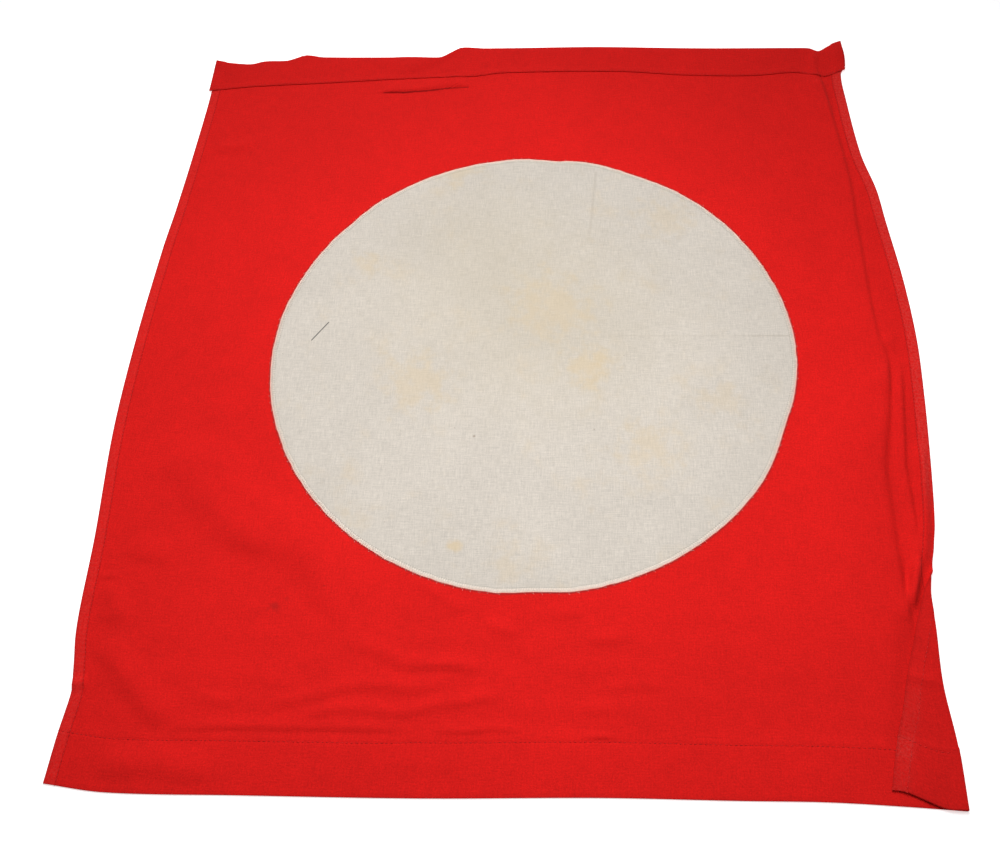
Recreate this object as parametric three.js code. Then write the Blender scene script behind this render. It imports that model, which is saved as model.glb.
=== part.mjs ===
// An old cotton flag laid out on a flat surface. It is one hemmed red cloth with one white disc sewn on.
//
// The top hem is turned to the front, as a flat pole sleeve. The lower part of the right-hand side is
// turned over on to the front as a long three-cornered flap, which shows the back of the cloth.
// A few soft rolls and creases stand up from the cloth, and all else lies flat on z = 0.
//
// Units are millimetres and +Z is up. The plan's own origin is the centre of the disc, +X runs towards
// the folded side and +Y towards the pole sleeve. At the end the whole group is moved so that the
// middle of its box, at the surface it lies on, is the part's origin.

import * as THREE from "three";

// ---- Driving dimensions ----

const CLOTH_THICKNESS = 1.0;
const DISC_THICKNESS = 1.0;
const DISC_RADIUS = 280;
const DISC_SIDES = 72;
const PIECE_GAP = 0.3; // between the disc and the cloth that it is sewn to

const SLEEVE_TURN_RADIUS = 0.9; // of the cloth's middle, where the top hem turns over
const FLAP_TURN_RADIUS = 2.0; // the same, where the right-hand side turns over
const FLAP_RISE_DEG = 2; // how far the flap stands open at its corner
const FLAP_SKEW = 0.28; // how far the flap's lower edge climbs for each millimetre from the turn
const TURN_STARTS_Y = -205; // above here the right-hand hem lies flat
const TURN_ENDS_Y = -275; // below here it has turned right over

// ---- Outline: hand-set points of the laid-out cloth ----

// The left edge, from bottom to top, as [y, x].
const LEFT_EDGE = [
  [-469, -420], [-421, -417], [-384, -414], [-365, -417], [-321, -424], [-226, -428], [-104, -436],
  [11, -436], [139, -431], [208, -426], [306, -421], [400, -418], [454, -421],
];

// The line beyond which the right-hand side turns over, or is a flat hem higher up, as [y, x].
const TURN_LINE = [
  [-469, 379], [-413, 379], [-359, 375], [-303, 377], [-273, 377], [-227, 384], [-128, 391], [-57, 396],
  [18, 399], [99, 396], [185, 388], [231, 384], [286, 373], [378, 366], [424, 365], [438, 372], [474, 371],
];

// How much cloth lies beyond that line, as [y, width]: the hem above, the flap below.
const WIDTH_PAST_TURN = [
  [-469, 68], [-420, 56], [-370, 42], [-324, 28], [-281, 15], [-250, 11], [-195, 10], [474, 10],
];

// The bottom edge, from left to right, as [x, y].
const BOTTOM_EDGE = [
  [-420, -469], [-363, -475], [-243, -474], [-85, -472], [71, -467], [190, -466], [266, -465],
  [337, -467], [379, -469],
];

// The fold of the pole sleeve along the top, as [x, y].
const TOP_FOLD = [
  [-421, 454], [-390, 450], [-351, 455], [-313, 462], [-273, 460], [-136, 457], [-117, 463], [-98, 476],
  [-40, 474], [76, 475], [203, 471], [330, 469], [356, 463], [371, 473], [384, 477],
];

// The lower edge of the pole sleeve, on the front, as [x, y].
const SLEEVE_EDGE = [
  [-421, 399], [-374, 406], [-265, 413], [-176, 419], [-84, 423], [-46, 429], [101, 430], [181, 423],
  [267, 421], [320, 426], [351, 418], [384, 432],
];

// ---- Creases: soft ridges that stand up from the flat cloth ----

const RIDGES = [
  {
    name: "inner roll", height: 5, halfWidth: 8,
    path: [[372, 60], [374, -30], [369, -110], [366, -190], [368, -262]],
  },
  {
    name: "outer roll", height: 3, halfWidth: 9,
    path: [[392, 70], [391, -20], [385, -110], [381, -180], [383, -240]],
  },
  {
    name: "upper roll", height: 3, halfWidth: 12,
    path: [[352, 425], [364, 341], [373, 257], [379, 160], [384, 40]],
  },
  {
    name: "side swell", height: 2.5, halfWidth: 30,
    path: [[332, 100], [334, -60], [330, -200], [326, -240]],
  },
  {
    name: "lower left crease", height: 3.5, halfWidth: 24,
    path: [[-408, -146], [-336, -193], [-304, -228], [-223, -257], [-172, -318], [-127, -349], [-40, -357]],
  },
  {
    name: "pinch below the sleeve", height: 4, halfWidth: 15,
    path: [[-210, 392], [-178, 394], [-131, 398], [-88, 405]],
  },
  {
    name: "lifted sleeve", height: 2.5, halfWidth: 60,
    path: [[-100, 470], [120, 474], [340, 466]],
  },
  {
    name: "lifted corner", height: 5, halfWidth: 28,
    path: [[384, 485], [384, 436]],
  },
];
const RIDGE_TAPER = 45; // a ridge fades out over this length at each end

// ---- Grid: where the rows and columns of the faceted cloth lie ----

const WIDE_COLUMN = 30;
const NARROW_COLUMN = 6;
const NARROW_ZONE = 84; // along the right-hand side, where the rolls are
const TURN_COLUMNS = 5;
const RUN_COLUMNS = 4;
const WIDE_ROW = 36;
const NARROW_ROW = 14;
const NARROW_ROWS_BELOW_Y = -180;
const SLEEVE_TURN_ROWS = 3;
const SLEEVE_ROWS = 3;

// ---- Helpers ----

// Reads b at a, on a smooth line through hand-set points [a, b].
function smoothLine(points) {
  const slope = points.map((_, i) => {
    const before = points[Math.max(i - 1, 0)];
    const after = points[Math.min(i + 1, points.length - 1)];
    return (after[1] - before[1]) / (after[0] - before[0]);
  });
  return (a) => {
    let i = 0;
    while (i < points.length - 2 && a > points[i + 1][0]) i += 1;
    const step = points[i + 1][0] - points[i][0];
    const t = THREE.MathUtils.clamp((a - points[i][0]) / step, 0, 1);
    const past = a - THREE.MathUtils.clamp(a, points[0][0], points[points.length - 1][0]);
    const start = points[i][1] * (1 + 2 * t) * (1 - t) ** 2 + slope[i] * step * t * (1 - t) ** 2;
    const end = points[i + 1][1] * t * t * (3 - 2 * t) + slope[i + 1] * step * t * t * (t - 1);
    return start + end + past * slope[past < 0 ? 0 : points.length - 1];
  };
}

const leftEdge = smoothLine(LEFT_EDGE);
const turnLine = smoothLine(TURN_LINE);
const widthPastTurn = smoothLine(WIDTH_PAST_TURN);
const bottomEdge = smoothLine(BOTTOM_EDGE);
const topFold = smoothLine(TOP_FOLD);
const sleeveEdge = smoothLine(SLEEVE_EDGE);

// How high one ridge lifts the cloth at (x, y). It is exactly 0 outside the ridge.
function ridgeHeight(ridge, x, y) {
  const lengths = ridge.path.slice(1).map(([bx, by], i) => {
    const [ax, ay] = ridge.path[i];
    return Math.hypot(bx - ax, by - ay);
  });
  const total = lengths.reduce((a, b) => a + b, 0);
  let nearest = { distance: Infinity, along: 0 };
  let passed = 0;
  lengths.forEach((length, i) => {
    const [ax, ay] = ridge.path[i];
    const [bx, by] = ridge.path[i + 1];
    const t = THREE.MathUtils.clamp(((x - ax) * (bx - ax) + (y - ay) * (by - ay)) / length ** 2, 0, 1);
    const distance = Math.hypot(x - ax - t * (bx - ax), y - ay - t * (by - ay));
    if (distance < nearest.distance) nearest = { distance, along: passed + t * length };
    passed += length;
  });
  const across = nearest.distance / ridge.halfWidth;
  if (across >= 1) return 0;
  const taper = Math.min(RIDGE_TAPER, total / 2);
  const ends = THREE.MathUtils.smoothstep(Math.min(nearest.along, total - nearest.along), -taper / 3, taper);
  return ridge.height * (1 - across ** 2) ** 2 * ends;
}

// The height of the cloth's underside above the surface, where one layer lies at (x, y).
function lift(x, y) {
  return Math.max(...RIDGES.map((ridge) => ridgeHeight(ridge, x, y)));
}

const lerp = THREE.MathUtils.lerp;

// A point of the cloth up to the turn line: p runs from left to right, q from bottom to top.
function planPoint(p, q) {
  const low = BOTTOM_EDGE[0][1];
  const high = topFold(LEFT_EDGE[LEFT_EDGE.length - 1][1]);
  const lowRight = BOTTOM_EDGE[BOTTOM_EDGE.length - 1][1];
  const highRight = topFold(turnLine(TURN_LINE[TURN_LINE.length - 1][0]));
  const leftY = lerp(low, high, q);
  const rightY = lerp(lowRight, highRight, q);
  const bottomX = lerp(leftEdge(low), turnLine(lowRight), p);
  const topX = lerp(leftEdge(high), turnLine(highRight), p);
  const between = (a, b, c, d) => lerp(lerp(a, b, p), lerp(c, d, p), q);
  const x = lerp(bottomX, topX, q) + lerp(leftEdge(leftY), turnLine(rightY), p)
    - between(leftEdge(low), turnLine(lowRight), leftEdge(high), turnLine(highRight));
  const y = lerp(bottomEdge(bottomX), topFold(topX), q) + lerp(leftY, rightY, p)
    - between(low, lowRight, high, highRight);
  return { x, y };
}

// The middle of the cloth past the turn line, where s is the length of cloth from that line.
function turnedPoint(start, s) {
  const turned = THREE.MathUtils.smoothstep(-start.y, -TURN_STARTS_Y, -TURN_ENDS_Y);
  const open = THREE.MathUtils.smoothstep(-start.y, -TURN_ENDS_Y, -BOTTOM_EDGE[0][1]);
  const angle = THREE.MathUtils.degToRad(180 * turned - FLAP_RISE_DEG * open);
  const arc = Math.min(s, FLAP_TURN_RADIUS * angle);
  const run = s - arc;
  const reached = arc / FLAP_TURN_RADIUS;
  return new THREE.Vector3(
    start.x + FLAP_TURN_RADIUS * Math.sin(reached) + run * Math.cos(angle),
    start.y + FLAP_SKEW * turned * s,
    start.z + FLAP_TURN_RADIUS * (1 - Math.cos(reached)) + run * Math.sin(angle),
  );
}

// Steps from 0 to 1, each at most `step` of `length` wide.
function evenSteps(length, step) {
  const count = Math.ceil(length / step);
  return Array.from({ length: count }, (_, i) => (i + 1) / count);
}

function columnSteps() {
  const width = turnLine(0) - leftEdge(0);
  const wide = 1 - NARROW_ZONE / width;
  const coarse = evenSteps(width * wide, WIDE_COLUMN).map((t) => t * wide);
  const fine = evenSteps(NARROW_ZONE, NARROW_COLUMN).map((t) => lerp(wide, 1, t));
  return [0, ...coarse, ...fine];
}

function rowSteps() {
  const height = topFold(0) - bottomEdge(0);
  const narrow = (NARROW_ROWS_BELOW_Y - bottomEdge(0)) / height;
  const fine = evenSteps(height * narrow, NARROW_ROW).map((t) => t * narrow);
  const coarse = evenSteps(height * (1 - narrow), WIDE_ROW).map((t) => lerp(narrow, 1, t));
  return [0, ...fine, ...coarse];
}

// The rows of the main layer, with the strip past the turn line at the end of each row.
function layRows() {
  const columns = columnSteps();
  return rowSteps().map((q) => {
    const row = columns.map((p) => {
      const { x, y } = planPoint(p, q);
      return new THREE.Vector3(x, y, lift(x, y) + CLOTH_THICKNESS / 2);
    });
    const start = row[row.length - 1];
    const width = widthPastTurn(start.y);
    const turn = Math.min(Math.PI * FLAP_TURN_RADIUS, width * 0.6);
    const strip = [
      ...evenSteps(turn, turn / TURN_COLUMNS).map((t) => t * turn),
      ...evenSteps(width - turn, (width - turn) / RUN_COLUMNS).map((t) => lerp(turn, width, t)),
    ];
    return [...row, ...strip.map((s) => turnedPoint(start, s))];
  });
}

// The rows of the pole sleeve, which turn over the last row and come back down the front.
function sleeveRows(lastRow) {
  const rows = [];
  for (let i = 1; i <= SLEEVE_TURN_ROWS; i += 1) {
    const angle = (Math.PI * i) / SLEEVE_TURN_ROWS;
    const outwards = SLEEVE_TURN_RADIUS * Math.sin(angle);
    const up = SLEEVE_TURN_RADIUS * (1 - Math.cos(angle));
    rows.push(lastRow.map((point) => new THREE.Vector3(point.x, point.y + outwards, point.z + up)));
  }
  for (let i = 1; i <= SLEEVE_ROWS; i += 1) {
    rows.push(lastRow.map((point) => {
      const y = lerp(point.y, sleeveEdge(point.x), i / SLEEVE_ROWS);
      const z = lift(point.x, y) + CLOTH_THICKNESS / 2 + 2 * SLEEVE_TURN_RADIUS;
      return new THREE.Vector3(point.x, y, z);
    }));
  }
  return rows;
}

// A closed sheet: the grid of middle points, thickened to both sides along its own normals.
function thickSheet(rows, thickness) {
  const rowCount = rows.length;
  const columnCount = rows[0].length;
  const normalAt = (j, i) => {
    const along = rows[j][Math.min(i + 1, columnCount - 1)].clone().sub(rows[j][Math.max(i - 1, 0)]);
    const up = rows[Math.min(j + 1, rowCount - 1)][i].clone().sub(rows[Math.max(j - 1, 0)][i]);
    return along.cross(up).normalize();
  };
  const layer = (side) => rows.flatMap((row, j) => row.flatMap((point, i) => (
    point.clone().addScaledVector(normalAt(j, i), (side * thickness) / 2).toArray()
  )));
  const index = [];
  const under = rowCount * columnCount;
  const quad = (a, b, c, d) => index.push(a, b, c, a, c, d);
  for (let j = 0; j < rowCount - 1; j += 1) {
    for (let i = 0; i < columnCount - 1; i += 1) {
      const a = j * columnCount + i;
      const above = a + columnCount;
      quad(a, a + 1, above + 1, above);
      quad(under + a, under + above, under + above + 1, under + a + 1);
    }
  }
  const rim = [];
  for (let i = 0; i < columnCount - 1; i += 1) rim.push(i);
  for (let j = 0; j < rowCount - 1; j += 1) rim.push(j * columnCount + columnCount - 1);
  for (let i = columnCount - 1; i > 0; i -= 1) rim.push((rowCount - 1) * columnCount + i);
  for (let j = rowCount - 1; j > 0; j -= 1) rim.push(j * columnCount);
  rim.forEach((a, k) => {
    const b = rim[(k + 1) % rim.length];
    quad(under + a, under + b, b, a);
  });
  const geometry = new THREE.BufferGeometry();
  geometry.setAttribute("position", new THREE.Float32BufferAttribute([...layer(1), ...layer(-1)], 3));
  geometry.setIndex(index);
  geometry.computeVertexNormals();
  return geometry;
}

// ---- The two pieces ----

function makeCloth() {
  const rows = layRows();
  const sleeve = sleeveRows(rows[rows.length - 1]);
  const red = new THREE.MeshStandardMaterial({ color: 0xc8181c, roughness: 0.9, metalness: 0 });
  const cloth = new THREE.Mesh(thickSheet([...rows, ...sleeve], CLOTH_THICKNESS), red);
  cloth.name = "flag_cloth";
  return cloth;
}

// The disc was cut by hand, so its edge wanders a little from a true circle.
function discEdge(angle) {
  return DISC_RADIUS + 0.5 * Math.sin(2 * angle) + 1.2 * Math.sin(4 * angle) + 0.8 * Math.cos(6 * angle);
}

function makeDisc() {
  const outline = Array.from({ length: DISC_SIDES }, (_, i) => {
    const angle = (2 * Math.PI * i) / DISC_SIDES;
    return new THREE.Vector2(discEdge(angle) * Math.cos(angle), discEdge(angle) * Math.sin(angle));
  });
  const flat = new THREE.Shape(outline);
  const geometry = new THREE.ExtrudeGeometry(flat, { depth: DISC_THICKNESS, bevelEnabled: false });
  const white = new THREE.MeshStandardMaterial({ color: 0xd8d3c8, roughness: 0.9, metalness: 0 });
  const disc = new THREE.Mesh(geometry, white);
  disc.name = "disc";
  disc.position.z = CLOTH_THICKNESS + PIECE_GAP;
  return disc;
}

const flag = new THREE.Group();
flag.add(makeCloth(), makeDisc());

// The part's origin is the middle of its box, on the surface that it lies on.
const box = new THREE.Box3().setFromObject(flag, true);
const middle = box.getCenter(new THREE.Vector3());
flag.position.set(-middle.x, -middle.y, -box.min.z);

export default flag;
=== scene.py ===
"""A worn cotton flag, laid out flat: one hemmed red cloth with a plain white disc sewn on.

The cloth's far end is turned to the front as a pole sleeve, and the lower part of its right-hand side
is turned over. The disc's raw edge is held by a dense zigzag. Lengths in the shape functions are
millimetres in the flag's own plan, measured from the middle of the disc, and become metres when a
mesh is made. Cloth coordinates are lengths along the flat cloth, so hems, seams and weave follow it.
"""

import bpy
import numpy as np
from bpy.props import FloatProperty, FloatVectorProperty, IntProperty, PointerProperty
from mathutils import Matrix, Vector


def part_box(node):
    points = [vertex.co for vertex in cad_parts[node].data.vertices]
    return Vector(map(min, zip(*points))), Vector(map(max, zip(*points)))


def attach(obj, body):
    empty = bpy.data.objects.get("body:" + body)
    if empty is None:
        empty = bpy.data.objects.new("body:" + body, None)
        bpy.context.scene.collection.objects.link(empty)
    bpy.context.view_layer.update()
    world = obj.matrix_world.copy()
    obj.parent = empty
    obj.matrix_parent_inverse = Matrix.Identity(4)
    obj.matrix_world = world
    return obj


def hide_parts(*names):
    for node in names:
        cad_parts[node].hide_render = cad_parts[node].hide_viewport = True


bl_info = {
    "name": "Worn cotton flag",
    "version": (1, 0, 0),
    "blender": (4, 5, 0),
    "location": "3D View > Sidebar > Flag",
    "description": "Builds a hemmed cotton flag with a sewn-on disc, laid out flat with one side turned over",
    "category": "Add Mesh",
}

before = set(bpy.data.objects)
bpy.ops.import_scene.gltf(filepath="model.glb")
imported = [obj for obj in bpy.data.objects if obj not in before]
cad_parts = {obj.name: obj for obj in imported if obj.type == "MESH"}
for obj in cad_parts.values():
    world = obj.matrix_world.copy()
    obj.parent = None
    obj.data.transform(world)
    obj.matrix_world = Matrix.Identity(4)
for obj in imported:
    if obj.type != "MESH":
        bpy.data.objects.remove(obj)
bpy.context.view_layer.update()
DISC_LOW, DISC_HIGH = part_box("disc")
CENTRE = (Vector(DISC_LOW) + Vector(DISC_HIGH)) / 2
MM = 0.001

# ---- The laid-out outline: points in millimetres from the middle of the disc ----

# The left edge from bottom to top, as (y, x).
LEFT_EDGE = (
    (-469, -420), (-421, -417), (-384, -414), (-365, -417), (-321, -424), (-226, -428), (-104, -436),
    (11, -436), (139, -431), (208, -426), (306, -421), (400, -418), (454, -421),
)
# The line past which the right-hand side turns over, or is a flat hem higher up, as (y, x).
TURN_LINE = (
    (-469, 379), (-413, 379), (-359, 375), (-303, 377), (-273, 377), (-256, 379.5), (-245, 380.5),
    (-237, 380.8), (-220, 381.5), (-203, 383.8), (-177, 386.8), (-128, 391), (-57, 396), (18, 399),
    (99, 396), (185, 388), (231, 384), (286, 373), (378, 366), (424, 365), (438, 372), (474, 371),
)
# How much cloth lies past that line, as (y, width).
WIDTH_PAST_TURN = (
    (-469, 65), (-419, 53.5), (-391, 43.5), (-363, 35.5), (-330, 27), (-298, 19), (-280, 12.5), (-266, 8.2),
    (-256, 5.5), (-246, 4.5), (-237, 5.6), (-225, 8.2), (-205, 9.8), (-195, 10), (474, 10),
)
# The bottom edge from left to right, as (x, y).
BOTTOM_EDGE = (
    (-420, -469), (-363, -475), (-243, -474), (-85, -472), (71, -467), (190, -466), (266, -465),
    (337, -467), (379, -469),
)
# The fold of the pole sleeve along the top, as (x, y).
TOP_FOLD = (
    (-421, 455), (-409, 452), (-390, 449), (-373, 448), (-357, 453), (-328, 454), (-318, 458), (-304, 464),
    (-281, 460), (-175, 458), (-134, 455.5), (-126, 457), (-103, 474.5), (-99, 476), (-92, 476), (-70, 474),
    (76, 475), (203, 471), (330, 470), (341, 469), (351, 464), (362, 471), (371, 477), (384, 483),
)
# The lower edge of the pole sleeve, on the front, as (x, y).
SLEEVE_EDGE = (
    (-421, 399), (-374, 406), (-265, 413), (-176, 419), (-84, 423), (-46, 429), (101, 430), (181, 423),
    (267, 421), (320, 426), (351, 418), (384, 432),
)
# Between these heights the right-hand side goes from lying flat to being turned over.
TURN_STARTS_Y, TURN_ENDS_Y = -244, -264
# How far the turned-over side leans up the flag: (from, to) from the turn, and how much.
LEAN_FROM, LEAN_TO, LEAN = 14, 62, 15

# The sharp pinch just below the sleeve, drawn as painted shadow lines: (from, to, how dark).
PINCH_SHADOW_LINES = (
    ((-196, 394.6), (-172, 394.4), 0.6), ((-172, 394.4), (-142, 397.6), 0.8),
    ((-142, 397.6), (-114, 402), 0.8), ((-114, 402), (-90, 404), 0.6),
)

# ---- Hems and seams: distances from the free edges ----

SIDE_SEAM, BOTTOM_SEAM, SLEEVE_SEAM = 11.4, 48.0, 2.5
# Where the turned-in cloth of a hem ends, a little past its seam.
SIDE_HEM, BOTTOM_HEM = 13, 52.5
# The pole sleeve's own depth. Seam lines are measured from its edge up to SLEEVE_REACH from it.
SLEEVE_DEPTH, SLEEVE_REACH = 53, 60
SLEEVE_TURN_IN = 8
# Where hems cross, the cloth is thicker by this many times one hem's build-up.
MOST_LAYERS = 1.5
# A distance at which no seam line shows.
NO_SEAM = 60.0
# Stitches along the sides stop below the sleeve, and start again past the turn's lower end.
SIDE_STITCHES_TOP, LEFT_STITCHES_TOP = 418, 395
FLAT_STITCHES_BOTTOM, TURNED_STITCHES_TOP = TURN_STARTS_Y + 4, TURN_ENDS_Y - 34

# ---- How finely each stretch of the cloth is divided: (how far, step), from the left and the bottom ----

COLUMN_STOPS = (
    (0.45, 0.15), (1.2, 0.4), (9.6, 2.6), (13.2, 1.0), (17, 1.8), (25, 3.6), (415, 6.2), (745, 7.5),
    (755, 3.4), (818, 1.9), (835, 1.2),
)
ROW_STOPS = (
    (0.45, 0.15), (1.2, 0.4), (45.5, 4.6), (50.5, 1.0), (54, 1.4), (60, 1.8), (196, 3.9), (236, 2.0),
    (290, 4.4), (600, 8.5), (848, 8), (860, 2.2), (865, 1.1), (881, 0.8), (892, 2.5), (905, 6), (944.5, 8.5),
)
SLEEVE_STOPS = ((30, 5), (38, 3), (44, 1.2), (49.5, 0.8), (51, 0.4))
SLEEVE_TURN_STEPS = 6
STRIP_TURN_STEPS, STRIP_RUN_STEPS = 8, 8
STRIP_HEM_STOPS = ((9, 1.6), (12.2, 1.0), (13.4, 0.4), (14, 0.15))


def smooth_line(points):
    """Reads b at a, on a smooth line through points (a, b)."""
    a, b = np.array(points, float).T
    before = np.r_[0, 0:len(a) - 1]
    after = np.r_[1:len(a), len(a) - 1]
    slope = (b[after] - b[before]) / (a[after] - a[before])

    def read(at):
        at = np.asarray(at, float)
        i = np.searchsorted(a[1:-1], at)
        step = a[i + 1] - a[i]
        t = np.clip((at - a[i]) / step, 0, 1)
        past = at - np.clip(at, a[0], a[-1])
        start = b[i] * (1 + 2 * t) * (1 - t) ** 2 + slope[i] * step * t * (1 - t) ** 2
        end = b[i + 1] * t * t * (3 - 2 * t) + slope[i + 1] * step * t * t * (t - 1)
        return start + end + past * np.where(past < 0, slope[0], slope[-1])

    return read


left_edge = smooth_line(LEFT_EDGE)
turn_line = smooth_line(TURN_LINE)
width_past_turn = smooth_line(WIDTH_PAST_TURN)
bottom_edge = smooth_line(BOTTOM_EDGE)
top_fold = smooth_line(TOP_FOLD)
sleeve_edge = smooth_line(SLEEVE_EDGE)


def graded(stops, start=0.0):
    """Rising places from start: each stop (how far, step) is reached in steps of about that size."""
    places = [start]
    for far, step in stops:
        count = max(1, round((far - places[-1]) / step))
        places += list(np.linspace(places[-1], far, count + 1)[1:])
    return np.array(places)


def mix(a, b, t):
    return a + (b - a) * t


def ease(low, high, value):
    """0 below low and 1 above high, with a smooth change between them."""
    t = np.clip((value - low) / (high - low), 0, 1)
    return t * t * (3 - 2 * t)


def soft_noise(x, y, across, up, seed):
    """Smooth lumps from 0 to 1, about across by up millimetres in size."""
    table = np.random.default_rng(seed).random((64, 64))
    gx, gy = np.asarray(x) / across + 500, np.asarray(y) / up + 500
    i, j = np.floor(gx).astype(int), np.floor(gy).astype(int)
    tx, ty = ease(0, 1, gx - i), ease(0, 1, gy - j)
    low = mix(table[i % 64, j % 64], table[(i + 1) % 64, j % 64], tx)
    high = mix(table[i % 64, (j + 1) % 64], table[(i + 1) % 64, (j + 1) % 64], tx)
    return mix(low, high, ty)


# ---- Creases ----

PATH_STEP = 6.0


def curve_through(points):
    """A finer path that runs smoothly through a few points."""
    points = np.array(points, float)
    padded = np.vstack([2 * points[0] - points[1], points, 2 * points[-1] - points[-2]])
    path = [points[0]]
    for a, b, c, d in zip(padded, padded[1:], padded[2:], padded[3:]):
        for t in np.linspace(0, 1, max(2, round(np.hypot(*(c - b)) / PATH_STEP) + 1))[1:]:
            turn = 2 * b + (c - a) * t + (2 * a - 5 * b + 4 * c - d) * t**2
            path.append((turn + (3 * b - a - 3 * c + d) * t**3) / 2)
    return np.array(path)


def along_path(path, x, y):
    """The distance of points from a path, positive on its left, and their place along it."""
    nearest = np.full(x.shape, np.inf)
    signed = np.full(x.shape, np.inf)
    along = np.zeros(x.shape)
    passed = 0.0
    for (ax, ay), (bx, by) in zip(path, path[1:]):
        length = np.hypot(bx - ax, by - ay)
        t = np.clip(((x - ax) * (bx - ax) + (y - ay) * (by - ay)) / length**2, 0, 1)
        off_x, off_y = x - ax - t * (bx - ax), y - ay - t * (by - ay)
        distance = np.hypot(off_x, off_y)
        side = np.where((bx - ax) * off_y - (by - ay) * off_x < 0, -1, 1)
        closer = distance < nearest
        nearest = np.where(closer, distance, nearest)
        signed = np.where(closer, side * distance, signed)
        along = np.where(closer, passed + t * length, along)
        passed += length
    return signed, along, passed


class Crease:
    """A line in the cloth. Beside it the cloth rises over `face` and falls away again over `back`."""

    def __init__(self, path, left=(0, 0), right=(0, 0), face=6, fade=30, shift=0):
        self.path = curve_through(path)
        self.sides = ((1, *left), (-1, *right))
        self.face = face
        self.fade = fade
        self.shift = shift

    def height(self, x, y):
        reach = self.face + max(back for _, _, back in self.sides) + abs(self.shift)
        low, high = self.path.min(axis=0) - reach, self.path.max(axis=0) + reach
        near = (x > low[0]) & (x < high[0]) & (y > low[1]) & (y < high[1])
        result = np.zeros(x.shape)
        if not near.any():
            return result
        signed, along, total = along_path(self.path, x[near], y[near])
        signed = signed + self.shift
        ends = ease(0, min(self.fade, total / 2), np.minimum(along, total - along))
        for side, height, back in self.sides:
            if height:
                away = signed * side
                fall = np.clip(1 - (np.maximum(away - self.face, 0) / back) ** 2, 0, 1) ** 2
                result[near] += height * ease(0, self.face, away) * fall * ends
        return result


def fold(path, height, face, back, fade):
    """A fold whose steep face lies along the path and whose back falls away to the path's left."""
    return Crease(path, left=(height, back), face=face, fade=fade, shift=face / 2)


def roll(path, height, half_width, fade=45):
    """A round ridge with its crest on the path."""
    return Crease(path, left=(height, half_width), right=(height, half_width), face=0.01, fade=fade)


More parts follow.
